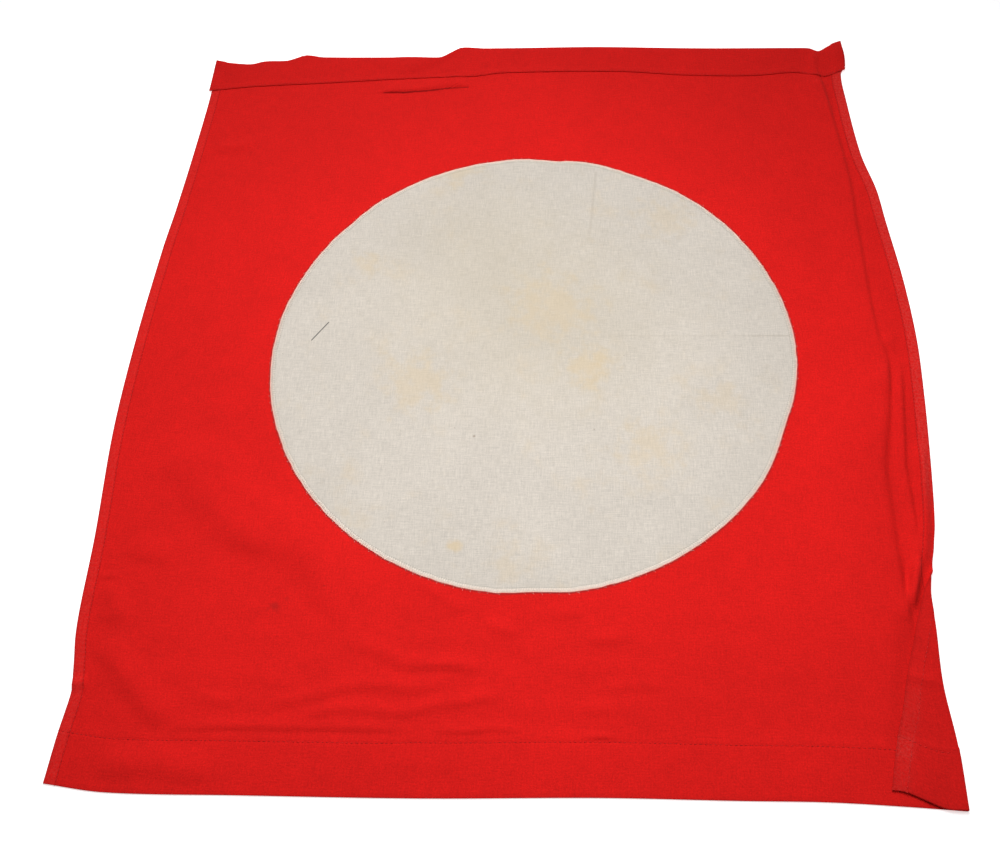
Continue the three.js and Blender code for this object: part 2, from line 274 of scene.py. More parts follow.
# Every fold of the laid-out cloth, from the right-hand side round to the pole sleeve, as (path, height,
# face, back, fade).
FOLDS = (
    # Right-hand side, upper part: one long groove down to a small three-cornered hollow.
    (
        ((372, -55), (374, -30), (375, -10), (373, 4), (369, 28), (367, 63), (366, 114), (366, 152),
         (365, 179), (365, 247), (357, 341), (347, 428)),
        3.3, 6, 40, 12,
    ),
    (((359, 345), (354, 385), (351, 416)), 2.0, 11, 18, 12),
    (((370, 9), (378, 10), (388, 9)), 2.4, 5, 14, 6),
    # Right-hand side, lower part: a swell that drops into a groove, and a ridge beside a deep hollow.
    (
        ((337, -378), (342, -352), (346, -330), (350, -300), (349, -270), (348, -221), (348, -190),
         (349, -150), (354, -115), (362, -80), (368, -40), (371, -12)),
        5.2, 23, 75, 90,
    ),
    (((316, -456), (326, -410), (339, -350), (347, -305)), 2.0, 16, 60, 60),
    (((358, -318), (358, -285), (357, -255), (357, -225)), 1.4, 5, 10, 16),
    (
        ((358, -304), (356, -285), (355, -265), (355, -221), (356, -194), (356, -139), (361, -109),
         (370, -62), (372, -32), (375, -13)),
        2.3, 7, 12, 14,
    ),
    (
        ((360, -296), (366, -272), (371, -256), (375, -232), (377, -194), (376, -162), (376, -133),
         (379, -108), (382, -77), (386, -42), (388, -15)),
        2.7, 5, 10, 22,
    ),
    (((363, -292), (368, -272), (373, -252), (377, -232)), 4.4, 9, 8, 20),
    (
        ((379, -252), (384, -226), (388, -204), (391, -182), (394, -150), (398, -105)),
        3.8, 8, 9, 25,
    ),
    # Lower left: one long soft fold from the edge to below the disc, and its small companions.
    (
        ((-405, -148), (-356, -164), (-339, -185), (-308, -217), (-281, -234), (-247, -244), (-221, -257),
         (-194, -292), (-173, -314), (-157, -321)),
        3.5, 34, 50, 60,
    ),
    (((-360, -120), (-320, -150), (-270, -195), (-215, -235)), 1.2, 16, 30, 60),
    (((-310, -222), (-272, -240), (-236, -247)), 0.9, 12, 20, 25),
    (((-205, -282), (-190, -300), (-168, -318)), 0.9, 10, 20, 15),
    (
        ((-161, -342), (-146, -341), (-127, -347), (-109, -356), (-91, -355), (-67, -355), (-53, -356),
         (-38, -359)),
        1.4, 5, 16, 14,
    ),
    (((-88, -355), (-67, -355), (-53, -356), (-36, -359)), 0.9, 3, 10, 10),
    (((-403, -240), (-385, -249), (-365, -253), (-341, -264)), 1.5, 14, 26, 22),
    (((-414, -274), (-402, -272), (-390, -270)), 0.9, 3, 8, 6),
    (((-371, -317), (-386, -293), (-392, -271)), 1.9, 9, 18, 16),
    (((-409, -308), (-397, -314), (-385, -322)), 0.6, 5, 12, 10),
    (((-417, -382), (-409, -381), (-400, -379)), 2.2, 3.5, 9, 4),
    (
        ((-409, -347), (-387, -358), (-369, -379), (-354, -394), (-332, -413), (-312, -418)),
        2.6, 15, 26, 22,
    ),
    (((-384, -456), (-359, -460), (-323, -458), (-296, -463), (-262, -458)), 1.9, 14, 24, 24),
    # Long shallow wrinkles above the bottom hem.
    (((-301, -392), (-278, -393), (-255, -398)), 1.0, 5, 12, 14),
    (((-244, -370), (-212, -378), (-197, -375)), 0.9, 5, 14, 14),
    (
        ((-232, -401), (-210, -393), (-182, -387), (-165, -380), (-148, -377), (-125, -376), (-107, -378),
         (-89, -378), (-75, -373), (-62, -369)),
        1.4, 6, 14, 25,
    ),
    (
        ((-205, -406), (-186, -403), (-158, -398), (-134, -399), (-108, -401), (-94, -399), (-79, -393),
         (-59, -391), (-36, -386), (-11, -383)),
        1.4, 5, 12, 25,
    ),
    (
        ((-330, -420), (-297, -418), (-252, -416), (-207, -416), (-170, -415), (-135, -415), (-98, -415),
         (-82, -411)),
        1.2, 3.5, 12, 60,
    ),
    (((-78, -414), (-49, -415), (-27, -412), (5, -413)), 1.1, 3.5, 10, 16),
    (((60, -417), (70, -416), (84, -416)), 1.2, 3, 6, 6),
    (((45, -393), (70, -392), (98, -392)), 1.0, 4, 12, 20),
    (((73, -374), (108, -370), (140, -370)), 1.0, 4, 12, 20),
    # Small marks of creases between these and the disc.
    (((-107, -270), (-91, -280), (-78, -289), (-62, -298), (-46, -305)), 1.2, 4, 12, 18),
    (((-34, -311), (-22, -319), (-10, -326)), 2.4, 6, 10, 6),
    (((-12, -329), (0, -340), (11, -350)), 1.2, 5, 10, 8),
    (((-91, -317), (-70, -316)), 0.5, 6, 14, 10),
    (((12, -304), (40, -303), (62, -301)), 1.0, 7, 14, 16),
    (((52, -328), (78, -327), (104, -325)), 1.15, 5, 12, 16),
    # Upper left and the pinch just below the pole sleeve.
    (((-405, 306), (-392, 298), (-370, 297), (-352, 305), (-343, 316)), 2.4, 5, 14, 14),
    (((-209, 395), (-170, 395.5), (-142, 399), (-114, 404), (-82, 406)), 2.6, 2.4, 24, 26),
    # The pole sleeve: a slack fold slants across it, and its right-hand end is pinched.
    (((-178, 424), (-150, 440), (-118, 458), (-96, 480)), 2.2, 12, 40, 14),
    (((349, 414), (346, 440), (351, 466)), 1.8, 7, 10, 14),
)
CREASES = (*(fold(*row) for row in FOLDS), roll(((382, 485), (384, 436)), 2.6, 26))
# On the turned-over side: a crease across it, and a crumple beside the turn.
FLAP_CREASES = (
    fold(((338, -353), (346, -356), (357, -358), (370, -362), (384, -368)), 1.6, 4, 12, 6),
    fold(((377, -372), (374, -392), (374, -412), (378, -424)), 1.0, 3, 7, 8),
)
WRINKLE_SEEDS = (3, 7, 11, 19, 23)

DISC_RADIUS = 280.0
# Its edge was cut a little wider than that, off centre, and is ragged.
DISC_CUT, OFF_CENTRE, OFF_DIRECTION = 281.0, 0.5, np.radians(255)
RAGGED_DEPTH, RAGGED_SIZE, RAGGED_SEED = 0.9, 9, 41
# Flat places in the disc's hand-cut edge: (direction in degrees, how deep, half its width in degrees).
DISC_FLATS = (
    (340, 4.2, 10), (272, 3.4, 6), (152, 2.4, 16), (140, 1.4, 4), (86, 3.4, 5), (65, 2.4, 8), (28, 0.8, 10),
)


def disc_edge(angle):
    """The disc was cut by hand, so its edge has flat places between its curves."""
    cut = DISC_CUT + OFF_CENTRE * np.cos(angle - OFF_DIRECTION)
    for direction, depth, width in DISC_FLATS:
        off = (np.degrees(angle) - direction + 180) % 360 - 180
        cut = cut - depth * np.exp(-((off / width) ** 2))
    x, y = DISC_RADIUS * np.cos(angle), DISC_RADIUS * np.sin(angle)
    return cut + RAGGED_DEPTH * (soft_noise(x, y, RAGGED_SIZE, RAGGED_SIZE, RAGGED_SEED) - 0.5)


def inside_disc(x, y):
    """How far points lie inside the disc's edge."""
    return disc_edge(np.arctan2(y, x)) - np.hypot(x, y)


def relief(x, y, amount=1.0):
    """How high the cloth's underside lies above the surface, where one layer lies there."""
    x, y = np.asarray(x, float), np.asarray(y, float)
    height = sum(crease.height(x, y) for crease in CREASES)
    broad, mid, fine, puck, line = WRINKLE_SEEDS
    swell = 0.35 * soft_noise(x, y, 190, 150, broad) + 0.25 * soft_noise(x, y, 64, 46, mid)
    # The cloth is crumpled below the disc, but not on the far right.
    low_part = ease(-250, -330, y) * ease(330, 250, x)
    crumple = 0.6 * soft_noise(x, y, 85, 13, fine) * low_part + 0.1 * soft_noise(x, y, 26, 15, line)
    rim = np.abs(inside_disc(x, y))
    pucker = 0.3 * soft_noise(x, y, 11, 11, puck) * np.exp(-((rim / 9) ** 2))
    # It lies flatter along the bottom edge.
    settled = 0.15 + 0.85 * ease(1, 30, y - bottom_edge(x))
    return height + amount * (settled * (swell + crumple) + pucker)


# ---- The laid-out cloth, as a grid of middle points ----


def plan_point(p, q):
    """A place on the cloth up to the turn line: p runs from left to right, q from bottom to top."""
    low, high = BOTTOM_EDGE[0][1], top_fold(LEFT_EDGE[-1][1])
    low_right, high_right = BOTTOM_EDGE[-1][1], top_fold(turn_line(TURN_LINE[-1][0]))
    left_y, right_y = mix(low, high, q), mix(low_right, high_right, q)
    bottom_x = mix(left_edge(low), turn_line(low_right), p)
    top_x = mix(left_edge(high), turn_line(high_right), p)
    x = mix(left_edge(left_y), turn_line(right_y), p)
    y = mix(bottom_edge(bottom_x), top_fold(top_x), q)
    return x, y


class Sheet:
    """A grid of points down the middle of a cloth, its thickness to each side and its flat coordinates."""

    def __init__(self, middle, front, back, flat):
        self.middle = middle
        self.front = front
        self.back = back
        self.flat = flat
        rows, columns = middle.shape[:2]
        west, east = self.neighbours(columns)
        south, north = self.neighbours(rows)
        normal = np.cross(middle[:, east] - middle[:, west], middle[north] - middle[south])
        self.normal = normal / np.linalg.norm(normal, axis=2, keepdims=True)

    @staticmethod
    def neighbours(count):
        """The rows or columns before and after each one, held inside the grid."""
        each = np.arange(count)
        return np.maximum(each - 1, 0), np.minimum(each + 1, count - 1)

    def side(self, face):
        """The points of the front, for face 1, or of the back, for face -1."""
        depth = self.front if face > 0 else self.back
        return self.middle + face * self.normal * depth[..., None]

    def line(self, field, at, along_rows, which, face):
        """Where a field reaches `at` on each row or column: places, and which way is out of the cloth."""
        points, outwards = self.side(face), self.normal * face
        places = []
        for k in which:
            across = (k, slice(None)) if along_rows else (slice(None), k)
            values = field[across]
            sense = np.sign(values[-1] - values[0])
            where = np.interp(at * sense, values * sense, np.arange(len(values)))
            i = int(min(where, len(values) - 2))
            runs = (points[across], outwards[across])
            places.append([mix(run[i], run[i + 1], where - i) for run in runs])
        return np.array(places)


def hem_bank(distance, width, spread=5.0):
    """1 on a hem, falling to 0 over a few millimetres past it."""
    return 1 - ease(width, width + spread, distance)


def rounded_rim(distance, radius=0.8):
    """How much of its thickness a folded edge keeps, this far in from it."""
    t = 1 - np.clip(distance / radius, 0, 1)
    return 0.25 + 0.75 * np.sqrt(1 - t * t)


def side_hem_width(y):
    """The right-hand hem is a little wider on the part that is turned over."""
    return SIDE_SEAM + 0.8 * ease(-TURN_STARTS_Y, -TURN_ENDS_Y, -y)


def onwards(grid, count):
    """A grid with its last row repeated."""
    return np.vstack([grid, np.repeat(grid[-1:], count, axis=0)])


def in_millimetres(sizes):
    """Half the cloth's thickness, the hems' build-up, and the radii of the side's turn and the sleeve's."""
    lengths = (sizes.thickness / 2, sizes.hem_build_up, sizes.turn_radius, sizes.sleeve_radius)
    return [length / MM for length in lengths]


def strip_distances(past, radius):
    """How far each column of the turned-over strip lies past the turn line, for each row."""
    hem_part = graded(STRIP_HEM_STOPS)
    turn_part = np.linspace(0, 1, STRIP_TURN_STEPS + 1)[1:]
    run_part = np.linspace(0, 1, STRIP_RUN_STEPS + 1)[1:]
    strip = []
    for width in past:
        turn = min(np.pi * radius, width * 0.5)
        hem = min(hem_part[-1], (width - turn) * 0.8)
        run = width - turn - hem
        reached = np.r_[turn * turn_part, turn + run * run_part]
        strip.append(np.r_[reached, width - hem + hem * hem_part[1:] / hem_part[-1]])
    return np.array(strip)


def turned_over(start, strip, sizes):
    """The strip past the turn line, from the last column on: a flat hem, or turned over lower down."""
    half, extra, radius, _ = in_millimetres(sizes)
    start_x, start_y, start_z = np.moveaxis(start, -1, 0)
    turned = ease(-TURN_STARTS_Y, -TURN_ENDS_Y, -start_y)
    corner = (start_y - TURN_ENDS_Y) / (BOTTOM_EDGE[0][1] - TURN_ENDS_Y)
    sag = 3.0 * ease(0.1, 0.4, corner) - 0.6 * ease(0.6, 1, corner)
    angle = np.radians((180 + sag) * turned)
    arc = np.minimum(strip, radius * angle)
    reached = arc / radius
    run = strip - arc
    x = start_x + radius * np.sin(reached) + run * np.cos(angle)
    # Near the sleeve the strip follows the line of the top fold.
    along_top = (top_fold(x) - top_fold(start_x)) * ease(430, 470, start_y)
    y = start_y + LEAN * turned * ease(LEAN_FROM, LEAN_TO, strip) + along_top
    wave = 0.5 * np.sin(strip / 13 + start_y / 22) * ease(10, 30, strip) * turned
    crumpled = sum(crease.height(x, y) for crease in FLAP_CREASES) * turned * ease(4, 12, strip)
    z = start_z + radius * (1 - np.cos(reached)) + run * np.sin(angle) + wave + crumpled
    below = relief(x, y, sizes.wrinkles)
    z = z + (below - relief(start_x, start_y, sizes.wrinkles)) * (1 - turned)
    # It lies on the layer below it, wherever that is higher.
    beneath = below + 3 * half + 1.5 * extra + 0.4
    z = z + np.maximum(beneath - z, 0) * ease(1.6, 2.8, reached)
    return np.dstack([x, y, z])


def sleeve_layer(last, level, bends, down, sizes):
    """The pole sleeve: it turns over the last row of the cloth and comes back down the front."""
    half, extra, _, small = in_millimetres(sizes)
    layer = [last + np.array([0, small * np.sin(a), small * (1 - np.cos(a))]) for a in bends]
    for length in down:
        y = mix(last[:, 1], sleeve_edge(last[:, 0]), length / down[-1])
        under = relief(last[:, 0], y, sizes.wrinkles) + level + 2 * half
        left = down[-1] - length
        puff = max(0.0, 2 * small - 2 * half) * ease(3, 40, left) + 0.12
        turned_in = 0.5 * extra * hem_bank(left, SLEEVE_TURN_IN, 3)
        layer.append(np.column_stack([last[:, 0], y, under + puff + turned_in + half]))
    return np.array(layer)


def cloth_sheet(sizes):
    """The whole red cloth: main layer, turned-over side and pole sleeve."""
    half, extra, radius, small = in_millimetres(sizes)
    columns, rows = graded(COLUMN_STOPS), graded(ROW_STOPS)
    x, y = plan_point(*np.meshgrid(columns / columns[-1], rows / rows[-1]))
    across, up = np.meshgrid(columns, rows)
    past = width_past_turn(y[:, -1])
    strip = strip_distances(past, radius)
    free = np.hstack([past[:, None] + columns[-1] - across, past[:, None] - strip])
    across = np.hstack([across, columns[-1] + strip])
    up = np.hstack([up, np.repeat(rows[:, None], strip.shape[1], axis=1)])

    # Hems are folded to the back, so they lift the cloth, and their seams pull it down again.
    hem_width = side_hem_width(y)[:, -1:]
    side = np.maximum(hem_bank(across, SIDE_SEAM), hem_bank(free, hem_width))
    lifted = extra * np.clip(side + hem_bank(up, BOTTOM_SEAM, 14), 0, MOST_LAYERS)
    level = lifted[-1, :]
    off_seams = (across - SIDE_SEAM, free - hem_width, up - BOTTOM_SEAM)
    seam = np.maximum.reduce([np.exp(-(off**2)) for off in off_seams])
    lifted = lifted - 0.5 * extra * seam * ease(920, 895, up)
    stepped = np.maximum(hem_bank(across, SIDE_HEM, 0.5), hem_bank(free, hem_width + 1.5, 0.5))
    folded = extra * np.clip(stepped + hem_bank(up, BOTTOM_HEM, 0.5), 0, MOST_LAYERS)
    z = relief(x, y, sizes.wrinkles) + lifted[:, :len(columns)] + half
    main = np.dstack([x, y, z])
    layer = np.concatenate([main, turned_over(main[:, -1:], strip, sizes)], axis=1)
    back = half + folded
    front = np.full(back.shape, half)

    # The pole sleeve adds rows past the last one.
    bends = np.pi * np.arange(1, SLEEVE_TURN_STEPS + 1) / SLEEVE_TURN_STEPS
    down = graded(SLEEVE_STOPS)[1:]
    middle = np.concatenate([layer, sleeve_layer(layer[-1], level, bends, down, sizes)])
    sleeve_left = np.repeat((down[-1] - down)[:, None], middle.shape[1], axis=1)
    added = len(bends) + len(down)
    back, across, free = (onwards(grid, added) for grid in (back, across, free))
    turned_in = 0.5 * extra * hem_bank(sleeve_left, SLEEVE_TURN_IN, 0.5)
    front = np.vstack([onwards(front, len(bends)), half + turned_in])
    far_up = rows[-1] + np.r_[small * bends, small * np.pi + down]
    up = np.vstack([up, np.repeat(far_up[:, None], middle.shape[1], axis=1)])
    to_edge = np.minimum.reduce([across, free, up, up[-1:] - up])
    rim = rounded_rim(to_edge)
    sheet = Sheet(middle, front * rim, back * rim, np.dstack([across, up]))
    sheet.across, sheet.free, sheet.up, sheet.to_edge = across, free, up, to_edge
    sheet.main_rows, sheet.main_columns = len(rows), len(columns)
    sheet.sleeve_left = up[-1, 0] - up
    return sheet


def hem_map(sheet):
    """Distances from the side and bottom edges, in which every side seam and cross seam is one line."""
    widths = side_hem_width(sheet.middle[:, sheet.main_columns - 1, 1])[:, None]
    aside = np.minimum(sheet.across, sheet.free - widths + SIDE_SEAM)
    aside = np.where(sheet.sleeve_left < SLEEVE_DEPTH, NO_SEAM, aside)
    sleeve = sheet.sleeve_left - SLEEVE_SEAM + BOTTOM_SEAM
    endways = np.where(sheet.sleeve_left < SLEEVE_REACH, sleeve, sheet.up)
    return np.dstack([aside, endways])


def wear_masks(sheet):
    """Where the cloth is rubbed pale, on its front and its back: the side hems, and where two hems cross."""
    y = sheet.middle[..., 1]
    # The right-hand hem is rubbed above the turn, and on the turned-over side more and more lower down.
    right_hem = ease(12, 9, sheet.free) * ease(-205, -130, y)
    left_hem = 0.5 * ease(12, 9, sheet.across)
    turned_hem = ease(15, 12.5, sheet.free) * (0.15 * ease(-250, -300, y) + 0.85 * ease(-350, -375, y))
    crossing = ease(52, 49, sheet.up) * ease(26, 34, sheet.up)
    on_sleeve = ease(SLEEVE_DEPTH + 3, SLEEVE_DEPTH, sheet.sleeve_left)
    front = np.maximum(right_hem, left_hem) * (1 - on_sleeve)
    return front, turned_hem * (0.35 + 0.4 * crossing)


def edge_shade_mask(sheet):
    """The narrow strip along every folded edge, darkened as painted shade where the cloth curves down at its
    edge.
    """
    return np.exp(-((sheet.to_edge / 1.3) ** 2))


def cloth_top(x, y, sizes):
    """The height of the red cloth's front under the disc."""
    return relief(x, y, sizes.wrinkles) + sizes.thickness / MM


# ---- The disc ----

DISC_GRID = 168
# Narrow rings that round off the disc's edge, as shares of its radius in from there.
RIM_RINGS = (0.0, 0.0006, 0.0018, 0.004, 0.008, 0.013)
SEW_WIDTH = 4.4
DISC_LIFT = 0.06
DISC_TROUGH = Crease(((257, 12), (250, -20), (235, -48)), left=(0.5, 14), right=(0.5, 14), face=5)


def disc_top(x, y, cloth, disc):
    """The height of the disc's front, which the seam presses down along its edge."""
    inside = inside_disc(x, y)
    # The cloth stands up a little inside the seam, and its needle line is pressed in.
    puff = 0.22 * ease(3.5, 16, inside)
    pressed_line = -0.12 * np.exp(-(((inside - SEW_WIDTH) / 0.9) ** 2))
    # Two creases were once pressed in: one level, on the right, and one upright, near the top.
    flat_fold = 0.22 * np.exp(-np.abs(y - 20 - 0.012 * x) / 3.0) * ease(40, 120, x)
    upright_fold = 0.16 * np.exp(-np.abs(x - 66 - 0.02 * y) / 4.0) * ease(110, 190, y)
    rise = puff + pressed_line + flat_fold + upright_fold + DISC_TROUGH.height(x, y)
    return cloth_top(x, y, cloth) + DISC_LIFT + disc.thickness / MM + rise


def disc_sheet(cloth, disc):
    """The white disc, on a square grid that is drawn out to a circle, so that it has no pole."""
    edge = 1 - np.array(RIM_RINGS)
    inner = np.linspace(-0.98, 0.98, DISC_GRID)
    places = np.r_[-edge, inner, edge[::-1]]
    u, v = np.meshgrid(places, places)
    x, y = u * np.sqrt(1 - v * v / 2), v * np.sqrt(1 - u * u / 2)
    reach = disc_edge(np.arctan2(y, x))
    x, y = x * reach, y * reach
    half = disc.thickness / MM / 2
    top = disc_top(x, y, cloth, disc)
    depth = half * rounded_rim(inside_disc(x, y) + 0.02, 0.4)
    return Sheet(np.dstack([x, y, top - half]), depth, depth, np.dstack([x, y]))


# ---- Meshes ----

# No point of the cloth comes closer to the surface below it than this.
LOWEST = 0.02


def to_metres(points):
    return np.asarray(points) * MM + np.array([CENTRE.x, CENTRE.y, 0.0])


def add_uv(mesh, name, values):
    """Gives a mesh a UV map from one value a point."""
    layer = mesh.uv_layers.new(name=name)
    corner = np.empty(len(mesh.loops), dtype=np.int32)
    mesh.loops.foreach_get("vertex_index", corner)
    layer.uv.foreach_set("vector", np.asarray(values, np.float32)[corner].ravel())


def new_object(name, data):
    thing = bpy.data.objects.new(name, data)
    bpy.context.scene.collection.objects.link(thing)
    return thing


def sheet_object(name, sheet, maps, masks=()):
    """A closed mesh round a sheet.

    Each of the maps is a name and two lengths for each grid point. Each of the masks is a name and one
    value for each grid point on the front and on the back.
    """
    rows, columns = sheet.middle.shape[:2]
    under = rows * columns
    grid = np.arange(under).reshape(rows, columns)
    a, b, c, d = grid[:-1, :-1], grid[:-1, 1:], grid[1:, 1:], grid[1:, :-1]
    front = np.stack([a, b, c, d], axis=-1).reshape(-1, 4)
    rim = np.r_[grid[0, :-1], grid[:-1, -1], grid[-1, :0:-1], grid[:0:-1, 0]]
    onward = np.roll(rim, -1)
    sides = np.stack([under + rim, under + onward, onward, rim], axis=-1)
    faces = np.vstack([front, under + front[:, ::-1], sides])
    points = np.vstack([sheet.side(1).reshape(-1, 3), sheet.side(-1).reshape(-1, 3)])
    points[:, 2] = np.maximum(points[:, 2], LOWEST)
    mesh = bpy.data.meshes.new(name)
    mesh.from_pydata(to_metres(points).tolist(), [], faces.tolist())
    mesh.polygons.foreach_set("use_smooth", np.ones(len(mesh.polygons), dtype=bool))
    for label, values in maps:
        flat = values.reshape(-1, 2) * MM
        add_uv(mesh, label, np.vstack([flat, flat]))
    for label, on_front, on_back in masks:
        values = np.r_[on_front.ravel(), on_back.ravel()].astype(np.float32)
        mesh.attributes.new(label, "FLOAT", "POINT").data.foreach_set("value", values)
    mesh.update()
    return new_object(name, mesh)


def path_object(name, lines, closed=False):
    """Loose paths for a seam. Each line holds places and the way out of the cloth at each of them."""
    mesh = bpy.data.meshes.new(name)
    places = np.vstack([line[:, 0] for line in lines])
    edges, first = [], 0
    for line in lines:
        count = len(line)
        edges += [(first + k, first + k + 1) for k in range(count - 1)]
        if closed:
            edges.append((first + count - 1, first))
        first += count
    mesh.from_pydata(to_metres(places).tolist(), edges, [])
    for k, label in enumerate(("out", "across")[:lines[0].shape[1] - 1]):
        layer = mesh.attributes.new(label, "FLOAT_VECTOR", "POINT")
        values = np.vstack([line[:, k + 1] for line in lines]) * (MM if label == "across" else 1)
        layer.data.foreach_set("vector", values.astype(np.float32).ravel())
    return new_object(name, mesh)


# ---- Node trees ----

GEOMETRY, NUMBER, VECTOR = "NodeSocketGeometry", "NodeSocketFloat", "NodeSocketVector"
MATERIAL = "NodeSocketMaterial"
NUMBER_SOCKETS = {float: NUMBER, int: "NodeSocketInt"}
# Drops the height of a vector.
LEVEL = (1.0, 1.0, 0.0)


class Nodes:
    """A node tree, with short ways to add nodes and join them."""

    def __init__(self, tree):
        self.tree = tree

    def give(self, value, socket):
        """Joins a socket to another one, or sets its value."""
        if isinstance(value, bpy.types.NodeSocket):
            self.tree.links.new(value, socket)
        else:
            socket.default_value = value

    def add(self, kind, inputs=None, **settings):
        node = self.tree.nodes.new(kind)
        for name, value in settings.items():
            setattr(node, name, value)
        for name, value in (inputs or {}).items():
            self.give(value, node.inputs[name])
        return node

    def math(self, operation, *values, clamp=False):
        inputs = dict(enumerate(values))
        return self.add("ShaderNodeMath", inputs, operation=operation, use_clamp=clamp).outputs[0]

    def plus(self, a, b):
        return self.math("ADD", a, b)

    def minus(self, a, b):
        return self.math("SUBTRACT", a, b)

    def times(self, a, b):
        return self.math("MULTIPLY", a, b)

    def over(self, a, b):
        return self.math("DIVIDE", a, b)

    def vector(self, operation, *values, output=0):
        return self.add("ShaderNodeVectorMath", dict(enumerate(values)), operation=operation).outputs[output]

    def scaled(self, vector, by):
        return self.add("ShaderNodeVectorMath", {0: vector, "Scale": by}, operation="SCALE").outputs[0]

    def length(self, vector):
        return self.vector("LENGTH", vector, output=1)

    def split(self, vector):
        return self.add("ShaderNodeSeparateXYZ", {0: vector}).outputs

    def joined(self, x, y, z):
        return self.add("ShaderNodeCombineXYZ", {0: x, 1: y, 2: z}).outputs[0]

    # For materials.

    def place(self):
        return self.add("ShaderNodeTexCoord").outputs["Object"]

    def uv(self, name):
        return self.add("ShaderNodeUVMap", uv_map=name).outputs[0]

    def attribute(self, name):
        return self.add("ShaderNodeAttribute", attribute_name=name).outputs["Fac"]

    def noise(self, place, scale, detail=3.0, roughness=0.55):
        inputs = {"Vector": place, "Scale": scale, "Detail": detail, "Roughness": roughness}
        return self.add("ShaderNodeTexNoise", inputs).outputs[0]

    def ramp(self, value, low, high, to_low=0.0, to_high=1.0):
        inputs = {"Value": value, "From Min": low, "From Max": high, "To Min": to_low, "To Max": to_high}
        return self.add("ShaderNodeMapRange", inputs, interpolation_type="SMOOTHSTEP").outputs[0]

    def near(self, value, line, outer, inner):
        """1 within `inner` of a line, falling to 0 at `outer` from it."""
        return self.ramp(self.math("ABSOLUTE", self.minus(value, line)), outer, inner)

    def mix(self, factor, a, b):
        return self.add("ShaderNodeMix", {0: factor, 6: a, 7: b}, data_type="RGBA").outputs[2]

    def tinted(self, colour, mask, strength, tint):
        return self.mix(self.times(mask, strength), colour, tint)

    def toned(self, colour, value):
        """A colour made lighter or darker by a value."""
        return self.add("ShaderNodeHueSaturation", {"Color": colour, "Value": value}).outputs[0]

    def group(self, name, inputs):
        """A named shader group, made when it is first used."""
        tree = bpy.data.node_groups.get(name) or SHADER_GROUPS[name]()
        return self.add("ShaderNodeGroup", inputs, node_tree=tree).outputs

    # For seams.

    def named_vector(self, name):
        node = self.add("GeometryNodeInputNamedAttribute", {"Name": name}, data_type="FLOAT_VECTOR")
        return node.outputs[0]

    def random(self, kind, low, high, seed):
        """A random value at each point, of the kind FLOAT or FLOAT_VECTOR."""
        node = self.add("FunctionNodeRandomValue", {"Seed": seed}, data_type=kind)
        socket_type = "VALUE" if kind == "FLOAT" else "VECTOR"
        for name, value in (("Min", low), ("Max", high)):
            self.give(value, next(s for s in node.inputs if s.name == name and s.type == socket_type))
        return next(s for s in node.outputs if s.type == socket_type)

    def tube(self, curve, thickness, sides, caps):
        """A round tube along a curve."""
        inputs = {"Resolution": sides, "Radius": self.times(thickness, 0.5)}
        ring = self.add("GeometryNodeCurvePrimitiveCircle", inputs).outputs[0]
        inputs = {"Curve": curve, "Profile Curve": ring, "Fill Caps": caps}
        return self.add("GeometryNodeCurveToMesh", inputs).outputs[0]


class Group(Nodes):
    """A node group. Each input is given by its kind of socket, or by the default of a number."""

    def __init__(self, name, kind, inputs):
        super().__init__(bpy.data.node_groups.new(name, kind))
        for label, value in inputs.items():
            is_kind = isinstance(value, str)
            kind = value if is_kind else NUMBER_SOCKETS[type(value)]
            made = self.tree.interface.new_socket(name=label, in_out="INPUT", socket_type=kind)
            if not is_kind:
                made.default_value = value
        self.given = {s.name: s for s in self.add("NodeGroupInput").outputs if s.name}

    def finish(self, outputs, socket_type=NUMBER):
        """Adds the outputs, and gives the finished tree."""
        for label in outputs:
            self.tree.interface.new_socket(name=label, in_out="OUTPUT", socket_type=socket_type)
        self.add("NodeGroupOutput", outputs)
        return self.tree


# ---- Shader groups ----


def weave_group():
    """Plain weave on the flat cloth: one thread over, one under, with uneven threads in both directions."""
    nodes = Group("Plain weave", "ShaderNodeTree", {
        "Cloth": VECTOR, "Thread pitch": 0.0005, "Unevenness": 0.5, "Grain": 1.5,
    })
    given = nodes.given
    threads = nodes.scaled(given["Cloth"], nodes.over(1.0, given["Thread pitch"]))
    x, y, _ = nodes.split(threads)
    wave = nodes.times(*(nodes.math("COSINE", nodes.times(part, np.pi)) for part in (x, y)))
    over = nodes.math("MULTIPLY_ADD", wave, 0.5, 0.5)
    # Slubs are drawn out along their own thread.
    long, short = 0.035, 0.45
    weft = nodes.noise(nodes.vector("MULTIPLY", threads, (long, short, 1.0)), 1.0, 4.0, 0.75)
    warp = nodes.noise(nodes.vector("MULTIPLY", threads, (short, long, 1.0)), 1.0, 4.0, 0.75)
    grain = nodes.times(nodes.noise(threads, 0.3, 2.0, 0.8), given["Grain"])
    slubs = nodes.plus(nodes.plus(weft, warp), grain)
    level = nodes.math("MULTIPLY_ADD", given["Grain"], 0.5, 1.0)
    uneven = nodes.times(nodes.minus(slubs, level), given["Unevenness"])
    height = nodes.plus(nodes.times(over, 0.5), nodes.times(uneven, 2.0))
    return nodes.finish({"Height": height, "Tone": nodes.plus(uneven, 1.0)})


